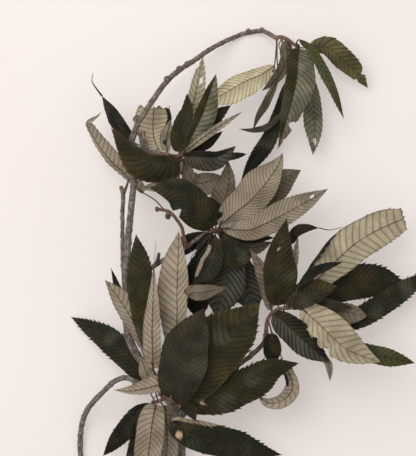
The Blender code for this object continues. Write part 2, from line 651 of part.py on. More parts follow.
def wood(name, collection, extra=0.0):
    """All the old wood as one solid. extra is added to every radius."""
    pieces = [rod(f"{name}_rod_{i}", route(stem.route), stem.root, stem.tip, WOOD_SIDES, WOOD_PITCH,
                  collection, extra)
              for i, stem in enumerate(OLD_WOOD)]
    pieces += [knot(f"{name}_scar_{i}", scar, collection, extra) for i, scar in enumerate(OLD_SCARS)]
    return union(name, pieces, collection)


def stalk(name, leaf, twig_line, collection):
    """A leaf's stalk, from the middle of the twig into the first part of the midrib."""
    points = route(leaf.stalk)
    root = min(twig_line, key=lambda point: (point - points[0]).length)
    start, after = route(leaf.midrib[:2])
    inside = start.lerp(after, REACH_INTO_BLADE)
    return rod(name, [root, *points, start, inside], STALK_ROOT_RADIUS, STALK_TIP_RADIUS, STALK_SIDES,
               STALK_PITCH, collection)


def shoot(name, twig, leaves, buds, collection):
    """A leafy shoot as one solid: its twig, with each leaf's stalk and blade grown into it."""
    twig_points = route(twig)
    twig_line = smooth(twig_points)
    pieces = [rod(name + "_twig", twig_points, TWIG_ROOT_RADIUS, TWIG_TIP_RADIUS, WOOD_SIDES, STALK_PITCH,
                  collection)]
    for key, leaf in leaves.items():
        pieces.append(stalk(f"{name}_{key}_stalk", leaf, twig_line, collection))
        pieces.append(blade(f"{name}_{key}_blade", leaf, collection))
    pieces += [knot(f"{name}_bud_{i}", bud, collection) for i, bud in enumerate(buds)]
    return union(name, pieces, collection)


def painted(obj, colour, roughness):
    """Gives the object its own material."""
    material = bpy.data.materials.new(obj.name)
    material.use_nodes = True
    shader = material.node_tree.nodes["Principled BSDF"]
    shader.inputs["Base Color"].default_value = colour
    shader.inputs["Roughness"].default_value = roughness
    shader.inputs["Metallic"].default_value = 0.0
    obj.data.materials.clear()
    obj.data.materials.append(material)


SHOOTS = {
    "shoot_top": (TOP_TWIG, TOP_LEAVES, []),
    "shoot_upper": (UPPER_TWIG, UPPER_LEAVES, []),
    "shoot_side": (SIDE_TWIG, SIDE_LEAVES, [SIDE_BUD]),
    "shoot_middle": (MIDDLE_TWIG, MIDDLE_LEAVES, []),
    "shoot_right": (RIGHT_TWIG, RIGHT_LEAVES, []),
    "shoot_front": (FRONT_TWIG, FRONT_LEAVES, []),
    "shoot_left": (LEFT_TWIG, LEFT_LEAVES, []),
    "shoot_back": (BACK_TWIG, BACK_LEAVES, []),
}


def main():
    for obj in list(bpy.data.objects):
        bpy.data.objects.remove(obj)
    branch = bpy.data.collections.new("chestnut_branch")
    cutters = bpy.data.collections.new("cutters")
    for collection in (branch, cutters):
        bpy.context.scene.collection.children.link(collection)

    table = table_cutter(cutters)
    seats = wood("seats", cutters, SEAT_GAP)
    old_wood = cut(wood("branch_wood", branch), table, branch)
    painted(old_wood, BARK, BARK_ROUGHNESS)
    for name, (twig, leaves, buds) in SHOOTS.items():
        leafy = cut(shoot(name, twig, leaves, buds, branch), seats, branch)
        keep_largest(leafy)
        painted(leafy, UPPER_SIDE, LEAF_ROUGHNESS)
    for cutter in (table, seats):
        bpy.data.objects.remove(cutter)


main()
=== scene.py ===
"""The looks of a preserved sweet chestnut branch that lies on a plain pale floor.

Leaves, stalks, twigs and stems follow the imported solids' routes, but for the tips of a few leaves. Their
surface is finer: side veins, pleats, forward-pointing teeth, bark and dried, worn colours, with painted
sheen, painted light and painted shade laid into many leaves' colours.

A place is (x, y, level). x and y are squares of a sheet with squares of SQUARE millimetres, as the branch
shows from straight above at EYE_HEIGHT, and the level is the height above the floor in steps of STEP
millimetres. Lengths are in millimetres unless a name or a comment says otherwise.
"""

import bisect
import logging
import math
import random
from dataclasses import dataclass, field
from enum import Enum, IntEnum

import bmesh
import bpy
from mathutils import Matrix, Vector, kdtree, noise


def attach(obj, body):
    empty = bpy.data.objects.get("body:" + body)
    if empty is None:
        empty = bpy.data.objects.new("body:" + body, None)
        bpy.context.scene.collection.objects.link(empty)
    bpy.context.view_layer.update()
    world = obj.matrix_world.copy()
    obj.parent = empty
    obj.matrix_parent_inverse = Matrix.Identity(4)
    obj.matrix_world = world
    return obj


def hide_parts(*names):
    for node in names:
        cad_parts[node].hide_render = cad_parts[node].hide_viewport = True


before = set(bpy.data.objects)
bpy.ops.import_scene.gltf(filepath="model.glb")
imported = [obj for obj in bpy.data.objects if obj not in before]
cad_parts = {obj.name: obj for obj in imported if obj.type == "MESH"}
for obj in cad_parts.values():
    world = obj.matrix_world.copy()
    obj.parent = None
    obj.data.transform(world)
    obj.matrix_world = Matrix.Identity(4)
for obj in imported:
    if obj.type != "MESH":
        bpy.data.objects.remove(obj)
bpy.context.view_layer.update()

LOG = logging.getLogger("chestnut")

Place = tuple[float, float, float]
Places = tuple[Place, ...]
Colour = tuple[float, float, float]
Pair = tuple[float, float]
Socket = bpy.types.NodeSocket
Value = Socket | float | Colour
Inputs = dict[str | int, Value]

MM = 0.001
SCREEN_KNEE, SCREEN_SLOPE, SCREEN_OFFSET, SCREEN_POWER = 0.04045, 12.92, 0.055, 2.4  # the screen's curve

SQUARE = 1.5  # the side of one square of the sheet
STEP = 1.4  # from one level to the next
SHEET_MIDDLE = (208, 228)  # squares, the point straight below the eye
SHEET_HEIGHT = 84.0  # above the floor, where the squares are true
EYE_HEIGHT = 1984.0  # above the floor
ORIGIN = (68.2, -82.5)  # from the sheet's middle to the middle of the branch's box, x right and y up

CURVE_STEPS = 12  # straight steps from one point of a route to the next
NEARBY = 0.02  # the share of a midrib over which its direction is read
FEWEST_RINGS = 4  # of a tube, past its first
SWELL_REACH = 2.5  # how far along a tube its swollen start dies away
SHARP_ANGLE = 50.0  # degrees, the least angle of an edge that stays sharp

BLADE_THICKNESS = 0.5
BASE_ROUNDNESS = 0.42  # the power of the outline's sine at the leaf's base: less is rounder
TIP_TAPER = 0.6  # and how much more it is at the tip
BASE_HALF_WIDTH = 1.1
TIP_HALF_WIDTH = 0.3
WAVES = 2.5  # waves of the margin along one side of a blade
WAVE_HEIGHT = 1.2  # levels, how far they rise and fall at the widest place
FLOOR_CLEARANCE = 0.5  # the least height of a blade's middle layer above the floor
STEEPEST = -0.2  # a sheet whose upper side looks further down than this is taken the other way up
DRIFT_STEPS = (3.7, 1.9, 0.7)  # from one leaf's place in the noise to the next one's
HALF_DRIFT = 7.0  # and between its halves and the midrib
LEAF_GAIN = (0.88, 1.08)  # how unlike the others one leaf's light can be

VEIN_PITCH = 8.6  # between side veins along the midrib, where a leaf has no own figure
FEWEST_VEINS = 12
VEIN_LEAN = 1.05  # how far a side vein runs on towards the tip, against how far it runs outwards
MOST_LEAN = 0.2  # of the blade's length
VEIN_CURVE = 1.12  # the power of its path: more bends it further forward near the margin
VEIN_RIDGE = 0.22  # how far a side vein stands out of the underside
VEIN_GROOVE = 0.14  # and how deep it is pressed into the upper side
ROWS = (0.0, 0.06, 0.18, 0.34, 0.5, 0.66, 0.82, 0.94)  # the mesh's rows, on the way to the next vein
TOOTH_OUT = (1.0, -0.5, -0.45, -0.3, -0.12, 0.06, 0.28, 0.52)  # how far the margin stands out at each row
TOOTH_DEPTH = 1.9  # of a leaf with its teeth at full strength
LEAST_TOOTH, MOST_TOOTH = 0.2, 1.25  # how unlike its neighbours one tooth can be
TOOTH_REACH = 0.42  # how far a tooth's bristle points on towards the tip, as a share of the pitch
TOOTH_START, BRISTLE_START = 0.86, 0.9  # the columns that they rise from
TOOTHLESS_BASE = (0.04, 0.16)  # the shares of the length between which the teeth begin
TIP_TOOTH_LOSS = 0.6  # how much weaker they are at the tip
COLUMNS = (0.0, 0.06, 0.22, 0.42, 0.62, 0.82, 0.94, 1.0)  # the mesh's columns from midrib to margin
FOLDED_COLUMNS = (0.0, 0.06, 0.22, 0.4, 0.56, 0.66, 0.72, 0.76, 0.8, 0.84, 0.92, 1.0)
FOLD_START, FOLD_END = 0.66, 0.84  # the columns between which a folded margin bends over
FOLD_RADIUS, FOLD_SHARE = 1.1, 0.2  # of the bend, and the most that it can take of the half's width
FOLD_FADE = 0.08  # the share of the length over which a fold begins or ends, to either side
HALF_FOLDED = 0.5  # a margin folded further than this points back to the midrib
FLAP_SHARE = 0.6  # the most that a flap can take of the half's width
FLAP_RISE, FLAP_LIFT = 0.4, 0.12  # how far it follows the bend upwards, and how far it stands off
END_FADE = 0.1  # the share at each end of a blade or of a vein over which its relief dies away
PLEAT_HEIGHT, PLEAT_MIDDLE = 1.2, 0.5  # how far a pleat of 1 stands out, and where its middle height is
PLEAT_FLAT = 0.3  # the column up to which a pleat grows out of the midrib
CAMBER = 1.5  # how far each half bulges up between the midrib and the margin, at the widest place
CRINKLE = 1.1  # how far the dried blade's bumps stand out
CRINKLE_SIZE = 17.0  # across one bump
PLEAT_FULL, CAMBER_FULL, CRINKLE_FULL, TOOTH_FULL = 14.0, 18.0, 10.0, 8.0  # the half widths of full relief
EDGE_UNEVENNESS = 0.13  # of a half's width, along its margin
EDGE_CURL = 4.2  # how far the margin curls up or down, at most
EDGE_BENDS = 4.0  # bends of the margin along one side of a blade
CURL_BENDS = 1.3  # and how many curls come to one bend
CURL_FULL = 12.0  # squares, the half width that curls in full
TORN_TIP = (-2.5, 5.0)  # how far a torn end falls short and stands out
SPOT_REACH = 20.0  # the half width that a spot's place is told in

RIB_ROOT_RADIUS = 0.85
RIB_TIP_RADIUS = 0.3
RIB_SIDES = 6
RIB_RING = 3.0  # between the rings of a midrib
RIB_SUNK = 0.35  # how far the midrib's middle lies below the blade's own, towards the underside
STALK_ROOT_RADIUS = 1.1
STALK_TIP_RADIUS = 0.85
STALK_SIDES = 8
STALK_RING = 2.0  # between the rings of a stalk
BARE_ROOT, BARE_TIP = 1.3, 0.6  # of a bare stalk's radius, at its root and at its tip
BLADE_BACK_SHARE, BLADE_BACK = 0.6, 7.0  # how far a blade's base runs back along its stalk, at most
THREAD_RADIUS = 0.45  # of a dried tip that is only its midrib
REACH_INTO_BLADE = 0.15  # how far a stalk runs in, as a share of the way to the midrib's second point
STALK_SWELL, BARE_SWELL = 0.7, 0.6  # how much thicker each is at its root, as a share
RIB_DULL, STALK_DULL, THREAD_DULL, BARE_DULL, BARK_DULL = 0.55, 0.5, 0.7, 0.6, 0.8

TWIG_ROOT_RADIUS = 3.0
TWIG_TIP_RADIUS = 2.3
TIP_BUD = (1.4, 1.3)  # its radius against the twig's tip, and how much longer than wide it is
WOOD_SIDES = 20
WOOD_RING = 3.0  # between the rings of a stem before it is fused
SAMPLE = 2.0  # between the samples that tell the grain's direction
FEWEST_SAMPLES = 2
ONLY_FINISH = 0  # the number of the bark, on a piece of wood
KNOT_FINENESS = 3  # how often a knot's ball is divided
WRINKLE, WRINKLES_ACROSS, WRINKLES_ALONG = 0.55, 620, 70  # their height, and how many in a metre
KNOBBLE, KNOBBLES = 0.7, 130
PORE, PORES_ACROSS, PORES_ALONG = 1.1, 190, 110
PORE_EDGE = (0.12, 0.34)  # from a pore's middle to its rim
CUT_CORE = 0.8  # of a cut end's radius, which shows its colour in full


def linear(red: int, green: int, blue: int) -> Colour:
    """Turn a colour of the screen into the light that it stands for.

    Args:
        red: Its red, from 0 to 255.
        green: Its green.
        blue: Its blue.

    Returns:
        The light, with each part from 0 to 1.
    """
    shares = (red / 255, green / 255, blue / 255)
    return tuple(part / SCREEN_SLOPE if part <= SCREEN_KNEE
                 else ((part + SCREEN_OFFSET) / (1.0 + SCREEN_OFFSET)) ** SCREEN_POWER for part in shares)


def mixed(one: Colour, other: Colour, share: float) -> Colour:
    """Mix two colours.

    Args:
        one: The first.
        other: The second.
        share: How far the mix is from the first to the second.

    Returns:
        The mix.
    """
    return tuple(a + (b - a) * share for a, b in zip(one, other))


def eased(low: float, high: float, value: float) -> float:
    """Step smoothly from 0 to 1.

    Args:
        low: Where the step begins.
        high: Where it ends.
        value: Where it is read.

    Returns:
        0 below low, 1 above high and a smooth step between.
    """
    t = min(1.0, max(0.0, (value - low) / (high - low)))
    return t * t * (3 - 2 * t)


def inside(share: float) -> float:
    """Fade out near both ends of a stretch.

    Args:
        share: The share of its length, from 0 to 1.

    Returns:
        1 over most of the stretch, and 0 at its ends.
    """
    return eased(0.0, END_FADE, share) * (1.0 - eased(1.0 - END_FADE, 1.0, share))


@dataclass(frozen=True)
class Shade:
    """How one side of a leaf looks: its colour, its margin's, how deep its pleats are (which also sets their
    painted light and shade) and how dull it is.
    """

    colour: Colour
    margin: Colour
    pleat: float
    dullness: float


class Look(Enum):
    """The looks of a leaf's side that shows. The first nine are upper sides and the others undersides.
    Several are
    copies of one colour with painted light: the darkest upper side is painted shade, the two grey ones carry
    a painted sheen, the cream underside is painted light, and the sand, taupe and umber undersides are
    painted shade.
    """

    OLIVE = Shade(linear(44, 40, 17), linear(66, 58, 26), 0.6, 0.55)
    MOSS = Shade(linear(45, 40, 26), linear(60, 55, 32), 0.4, 0.6)
    GREEN = Shade(linear(66, 68, 34), linear(84, 82, 44), 0.5, 0.55)
    DEEP = Shade(linear(33, 33, 16), linear(46, 44, 20), 0.6, 0.5)
    # Painted shade: the olive upper side darkened, for leaves that lie in deep shade.
    SHADED_DARK = Shade(linear(23, 22, 13), linear(32, 30, 16), 0.6, 0.5)
    # Painted sheen: a grey-blue upper side whose colour stands for a sheen.
    SHEEN_SLATE = Shade(linear(66, 66, 58), linear(40, 39, 26), 1.35, 0.38)
    # Painted sheen: a paler grey upper side whose colour stands for a sheen.
    SHEEN_ASH = Shade(linear(110, 106, 86), linear(104, 96, 60), 0.8, 0.48)
    KHAKI = Shade(linear(92, 83, 52), linear(100, 90, 50), 0.7, 0.5)
    BROWN = Shade(linear(52, 46, 27), linear(64, 58, 34), 0.9, 0.5)
    # Painted light: the underside's colour made lighter than the lamps light it.
    LIT_CREAM = Shade(linear(222, 212, 176), linear(190, 176, 138), 0.5, 0.85)
    STRAW = Shade(linear(176, 164, 138), linear(150, 134, 104), 0.6, 0.85)
    # Painted shade: the next three are the underside's colour darkened step by step, for undersides in shade.
    SHADED_SAND = Shade(linear(154, 141, 122), linear(132, 116, 92), 0.6, 0.85)
    SHADED_TAUPE = Shade(linear(114, 102, 87), linear(96, 82, 66), 0.6, 0.85)
    SHADED_UMBER = Shade(linear(72, 66, 54), linear(60, 52, 42), 0.4, 0.8)

    @property
    def pale(self) -> bool:
        """Whether it is the look of an underside."""
        return self in (Look.LIT_CREAM, Look.STRAW, Look.SHADED_SAND, Look.SHADED_TAUPE, Look.SHADED_UMBER)


@dataclass(frozen=True)
class SheenAndAgeing:
    """How one side of every leaf looks in patches: its grey patches, painted sheen on upper sides and a paler
    patch on undersides, how strong they are, and where it has dried brown.

    hidden is how the side looks on a leaf that shows its other one.
    """

    sheen_and_bloom: Colour
    strength: float
    dry: Colour
    hidden: Shade


# On the upper side the grey patches are painted sheen, and a hidden upper side takes the darkest, shaded
# look.
UPPER_SHEEN_AND_AGEING = SheenAndAgeing(linear(92, 92, 74), 0.3, linear(76, 60, 32), Look.SHADED_DARK.value)
UNDER_AGEING = SheenAndAgeing(linear(186, 176, 152), 0.16, linear(116, 98, 76), Look.SHADED_SAND.value)
PATCH_SIZE = 34.0  # across one patch of painted sheen (a paler patch on undersides) or of dried brown
PATCH_EDGE = (0.05, 0.55)  # the noise's values between which a patch begins
DRY_STRENGTH = 0.42
MARGIN_START, MARGIN_STRENGTH, TIP_STRENGTH = 0.88, 0.55, 0.3  # of the margin's colour, and at the tip
PLEAT_SHADE = 0.45  # painted light and shade: how much lighter a pleat's ridge is painted than its valley, at a pleat of 1
PLEAT_EVEN = 0.55  # the height of a pleat that has the leaf's own colour
SPOT_CORE = 0.7  # of a spot's radius, which shows its colour in full

DARK_RIB = linear(56, 42, 36)
RUST_RIB = linear(118, 66, 44)
RUST_MARGIN = linear(124, 88, 44)
YELLOW_MARGIN = linear(92, 80, 34)
SPOT_COLOUR = linear(214, 178, 142)
STALK_COLOUR = linear(50, 38, 34)
BRACT_COLOUR = linear(112, 84, 66)
BUD_COLOUR = linear(72, 76, 58)
FRESH_CUT_COLOUR = linear(196, 172, 126)
WORN_CUT_COLOUR = linear(150, 104, 66)
OLD_CUT_COLOUR = linear(150, 118, 84)


class Half(Enum):
    """The two halves of a blade, seen from above with the tip ahead."""

    LEFT = 1
    RIGHT = -1


@dataclass(frozen=True)
class Bite:
    """A tear in the margin: where along the blade, how much of its length it takes and how deep it is."""

    half: Half
    at: float
    reach: float
    depth: float

    def left_over(self, share: float) -> float:
        """The share of the blade's width that the tear leaves at that share of its length."""
        return 1.0 - self.depth * max(0.0, 1.0 - abs(share - self.at) / self.reach)


@dataclass(frozen=True)
class Fold:
    """A stretch of margin folded over onto the side that shows: from where to where, and the flap's width."""

    half: Half
    start: float
    end: float
    width: float

    def strength(self, share: float) -> float:
        """How far the margin is folded at that share of the blade's length, from 0 to 1."""
        begun = eased(self.start - FOLD_FADE, self.start + FOLD_FADE, share)
        return begun * (1.0 - eased(self.end - FOLD_FADE, self.end + FOLD_FADE, share))


@dataclass(frozen=True)
class Spot:
    """A spot or a hole: where along the blade, how far out from -1 on the right to 1, and its radius."""

    at: float
    out: float
    radius: float

    def gap(self, share: float, side: float, length: float) -> float:
        """How far a point is from the spot's middle, in millimetres."""
        return math.hypot((share - self.at) * length, (side - self.out) * SPOT_REACH)


@dataclass(frozen=True)
class Leaf:
    """A leaf: its stalk's route from the twig, its midrib's route, its two halves, and how it looks.

    left and right are (reach, lift) at the widest place, looking from base to tip from above: how many
    squares the half reaches out sideways, and how many levels higher its margin is than the midrib.
    belly is where the blade is widest, as a share of its length, and kept is the share of the full outline
    that is left where the tip is torn off. other is a half that looks different from the rest: mostly a half
    with painted sheen, once a darker half. teeth is how strong the teeth are, pitch is between side veins,
    and thread is the route of a dried tip that goes on past the blade.
    """

    stalk: Places
    midrib: Places
    left: Pair
    right: Pair
    look: Look
    belly: float = 0.45
    kept: float = 1.0
    rib: Colour = DARK_RIB
    margin: Colour | None = None
    other: tuple[Half, Look] | None = None
    bites: tuple[Bite, ...] = ()
    folds: tuple[Fold, ...] = ()
    spots: tuple[Spot, ...] = ()
    holes: tuple[Spot, ...] = ()
    teeth: float = 0.5
    pitch: float = VEIN_PITCH
    thread: Places = ()
    thread_radius: float = THREAD_RADIUS


@dataclass(frozen=True)
class Rod:
    """A length of wood: its route, and its radius at its root and at its tip."""

    route: Places
    root: float
    tip: float


@dataclass(frozen=True)
class Knot:
    """A bud or an old scar: its place, its radius and how much longer than wide it is."""

    place: Place
    radius: float
    stretch: float = 1.0


@dataclass(frozen=True)
class Cut:
    """A cut end or a bud that has its own colour: its place, how far the colour reaches, and the colour."""

    place: Place
    radius: float
    colour: Colour

    def strength(self, spot: Vector) -> float:
        """How much of its colour a point in metres has, from 0 to 1."""
        gap = (spot - at_place(self.place)).length / MM
        return 1.0 - eased(self.radius * CUT_CORE, self.radius, gap)


def at_place(spot: Place) -> Vector:
    """The point of a place on the squared sheet.

    Args:
        spot: The place, as (x, y, level).

    Returns:
        The point in metres. A higher point is nearer the sheet's middle.
    """
    x, y, level = spot
    height = level * STEP
    share = (EYE_HEIGHT - height) / (EYE_HEIGHT - SHEET_HEIGHT)
    right = (x - SHEET_MIDDLE[0]) * SQUARE * share - ORIGIN[0]
    up = (SHEET_MIDDLE[1] - y) * SQUARE * share - ORIGIN[1]
    return Vector((right, up, height)) * MM


class Route:
    """A smooth line through points, which can be read at any share of its length."""

    def __init__(self, points: list[Vector]) -> None:
        """Lay a Catmull-Rom curve through points.

        Args:
            points: The points, in metres.
        """
        self.line = self._smooth(points)
        self.marks = [0.0]
        for a, b in zip(self.line, self.line[1:]):
            self.marks.append(self.marks[-1] + (b - a).length)
        self.length = self.marks[-1]

    @classmethod
    def through(cls, places: Places) -> "Route":
        """The route through places of the sheet."""
        return cls([at_place(spot) for spot in places])

    @staticmethod
    def _smooth(points: list[Vector]) -> list[Vector]:
        """Draw the curve finely.

        Args:
            points: The points that it goes through.

        Returns:
            A polyline on the curve.
        """
        if len(points) == 2:
            return [points[0].lerp(points[1], i / CURVE_STEPS) for i in range(CURVE_STEPS + 1)]
        padded = [2 * points[0] - points[1], *points, 2 * points[-1] - points[-2]]
        line = []
        for before, start, end, after in zip(padded, padded[1:], padded[2:], padded[3:]):
            for i in range(CURVE_STEPS):
                t = i / CURVE_STEPS
                line.append(0.5 * (2 * start + (end - before) * t
                                   + (2 * before - 5 * start + 4 * end - after) * t**2
                                   + (3 * start - before - 3 * end + after) * t**3))
        return [*line, points[-1].copy()]

    def at(self, share: float) -> Vector:
        """Read the line.

        Args:
            share: The share of its length.

        Returns:
            The point there.
        """
        wanted = min(1.0, max(0.0, share)) * self.length
        i = min(max(bisect.bisect_right(self.marks, wanted), 1), len(self.line) - 1)
        span = self.marks[i] - self.marks[i - 1]
        return self.line[i - 1].lerp(self.line[i], (wanted - self.marks[i - 1]) / span if span else 0.0)

    def ahead(self, share: float) -> Vector:
        """The direction at that share of the length."""
        return (self.at(share + NEARBY) - self.at(share - NEARBY)).normalized()

    def frames(self, pitch: float, fewest: int) -> list[tuple[float, Vector, Vector, Vector]]:
        """Read the line at even steps, with a direction across it that doesn't twist.

        Args:
            pitch: The length of a step, in millimetres.
            fewest: The least number of steps.

        Returns:
            The share of the length, the point, the direction ahead and the one across, for each reading.
        """
        count = max(fewest, round(self.length / (pitch * MM)))
        across = self.ahead(0.0).orthogonal().normalized()
        readings = []
        for i in range(count + 1):
            share = i / count
            ahead = self.ahead(share)
            across = (across - ahead * across.dot(ahead)).normalized()
            readings.append((share, self.at(share), ahead, across))
        return readings


class Finish(IntEnum):
    """The numbers of a leaf's finishes, in the order of LEAF_FINISHES."""

    UPPER_SIDE = 0
    UNDER_SIDE = 1
    RIB_AND_STALK = 2


@dataclass
class Form:
    """Points and faces gathered for one piece, with the finish, tint and grain of each."""

    points: list[Vector] = field(default_factory=list)
    tints: list[Colour] = field(default_factory=list)
    grains: list[Pair] = field(default_factory=list)
    dulls: list[float] = field(default_factory=list)
    faces: list[tuple[int, ...]] = field(default_factory=list)
    finishes: list[int] = field(default_factory=list)

    def point(self, spot: Vector, tint: Colour, grain: Pair, dull: float) -> int:
        """Add a point.

        Args:
            spot: The point, in metres.
            tint: Its colour.
            grain: Where it lies in the piece's grain.
            dull: How dull it is.

        Returns:
            Its number.
        """
        self.points.append(spot)
        self.tints.append(tint)
        self.grains.append(grain)
        self.dulls.append(dull)
        return len(self.points) - 1

    def face(self, corners: tuple[int, ...], finish: int) -> None:
        """Add a face in that finish."""
        self.faces.append(corners)
        self.finishes.append(finish)

    def tube(self, route: Route, radii: Pair, sides: int, ring: float, tint: Colour, finish: int,
             dull: float, shift: Vector = Vector(), swell: float = 0.0) -> None:
        """Add a tapering closed tube along a route.

        Args:
            route: The line that it follows.
            radii: Its radius at the start and at the end.
            sides: How many sides it has.
            ring: The distance between its rings.
            tint: Its colour.
            finish: The number of its finish.
            dull: How dull it is.
            shift: How far it is moved from the line, in metres.
            swell: How much thicker it is at its very start, as a share of the radius.
        """
        loops = []
        for share, centre, ahead, across in route.frames(ring, FEWEST_RINGS):
            other = ahead.cross(across)
            radius = radii[0] + (radii[1] - radii[0]) * share
            radius *= 1.0 + swell * math.exp(-share * route.length / (SWELL_REACH * MM))
            loop = []
            for k in range(sides):
                turn = 2 * math.pi * k / sides
                spot = centre + shift + (across * math.cos(turn) + other * math.sin(turn)) * radius * MM
                spot.z = max(spot.z, 0.0)
                loop.append(self.point(spot, tint, (share * route.length / MM, turn * radius), dull))
            loops.append(loop)
        for near, far in zip(loops, loops[1:]):
            for k in range(sides):
                after = (k + 1) % sides
                self.face((near[k], near[after], far[after], far[k]), finish)
        self.face(tuple(reversed(loops[0])), finish)
        self.face(tuple(loops[-1]), finish)

    def piece(self, name: str, materials: list[bpy.types.Material]) -> bpy.types.Object:
        """Make the object.

        Args:
            name: Its name.
            materials: Its materials, in the order of the finishes' numbers.

        Returns:
            The object, linked to the scene.
        """
        mesh = bpy.data.meshes.new(name)
        mesh.from_pydata(self.points, [], self.faces)
        mesh.polygons.foreach_set("material_index", self.finishes)
        tint = mesh.attributes.new("tint", "FLOAT_COLOR", "POINT")
        tint.data.foreach_set("color", [part for colour in self.tints for part in (*colour, 1.0)])
        dull = mesh.attributes.new("dull", "FLOAT", "POINT")
        dull.data.foreach_set("value", self.dulls)
        layer = mesh.uv_layers.new(name="grain")
        corners = [0] * len(mesh.loops)
        mesh.loops.foreach_get("vertex_index", corners)
        layer.data.foreach_set("uv", [part for corner in corners for part in self.grains[corner]])
        mesh.shade_smooth()
        mesh.set_sharp_from_angle(angle=math.radians(SHARP_ANGLE))
        for material in materials:
            mesh.materials.append(material)
        mesh.validate()
        obj = bpy.data.objects.new(name, mesh)
        bpy.context.scene.collection.objects.link(obj)
        return obj


RISING, FALLING = (0.0, 1.0), (1.0, 0.0)  # the ends of a smooth step
STEP_INPUTS = ("Value", "From Min", "From Max", "To Min", "To Max")


class Paint:
    """A small helper that builds a material's nodes. It takes numbers, colours and other nodes' outputs."""

    def __init__(self, name: str) -> None:
        """Start a material with a plain Principled shader.

        Args:
            name: The material's name.
        """
        self.material = bpy.data.materials.new(name)
        self.material.use_nodes = True
        self.tree = self.material.node_tree

    def feed(self, node: bpy.types.Node, inputs: Inputs) -> None:
        """Link or set some of a node's inputs.

        Args:
            node: The node.
            inputs: What to give each of them, by its name or number.
        """
        for key, value in inputs.items():
            socket = node.inputs[key]
            if isinstance(value, Socket):
                self.tree.links.new(value, socket)
            else:
                socket.default_value = (*value, 1.0) if socket.type == "RGBA" else value

    def node(self, kind: str, output: str | int, inputs: Inputs, **settings: object) -> Socket:
        """Make a node.

        Args:
            kind: Its kind.
            output: The name or number of the output that is wanted.
            inputs: What to give its inputs.
            settings: Its settings.

        Returns:
            That output.
        """
        made = self.tree.nodes.new(kind)
        for key, value in settings.items():
            setattr(made, key, value)
        self.feed(made, inputs)
        return made.outputs[output]

    def attribute(self, name: str, output: str = "Color") -> Socket:
        """What is painted on the mesh under that name."""
        return self.node("ShaderNodeAttribute", output, {}, attribute_name=name)

    def place(self) -> Socket:
        """The point's place on the object, in metres."""
        return self.node("ShaderNodeTexCoord", "Object", {})

    def maths(self, operation: str, *values: Value) -> Socket:
        """The result of a sum on numbers or outputs."""
        return self.node("ShaderNodeMath", "Value", dict(enumerate(values)), operation=operation)

    def step(self, value: Value, span: Pair, ends: Pair = RISING) -> Socket:
        """A smooth step of a value: the first of the ends below the span and the second above it."""
        inputs = dict(zip(STEP_INPUTS, (value, *span, *ends)))
        return self.node("ShaderNodeMapRange", "Result", inputs, interpolation_type="SMOOTHSTEP")

    def blend(self, share: Value, one: Value, other: Value, mode: str = "MIX") -> Socket:
        """Two colours mixed in that mode."""
        return self.node("ShaderNodeMix", 2, {0: share, 6: one, 7: other}, data_type="RGBA", blend_type=mode)

    def stretched(self, source: Socket, scale: tuple[float, float, float]) -> Socket:
        """A coordinate, scaled."""
        return self.node("ShaderNodeMapping", "Vector", {"Vector": source, "Scale": scale})

    def cloud(self, source: Socket, scale: float, detail: float = 3.0) -> Socket:
        """Noise from 0 to 1."""
        return self.node("ShaderNodeTexNoise", "Fac", {"Vector": source, "Scale": scale, "Detail": detail})

    def cells(self, source: Socket, scale: float, feature: str = "F1") -> Socket:
        """The distance to the nearest cell's middle, or to its edge."""
        return self.node("ShaderNodeTexVoronoi", "Distance", {"Vector": source, "Scale": scale},
                         feature=feature)

    def grey(self, value: Socket) -> Socket:
        """A number as a grey colour."""
        return self.node("ShaderNodeCombineColor", "Color", dict.fromkeys(("Red", "Green", "Blue"), value))

    def bump(self, height: Socket, depth: float) -> Socket:
        """A bumped normal, of that depth in metres."""
        return self.node("ShaderNodeBump", "Normal", {"Distance": depth, "Height": height})

    def done(self, inputs: Inputs) -> bpy.types.Material:
        """Give the shader its inputs and return the material."""
        self.feed(self.tree.nodes["Principled BSDF"], inputs)
        return self.material


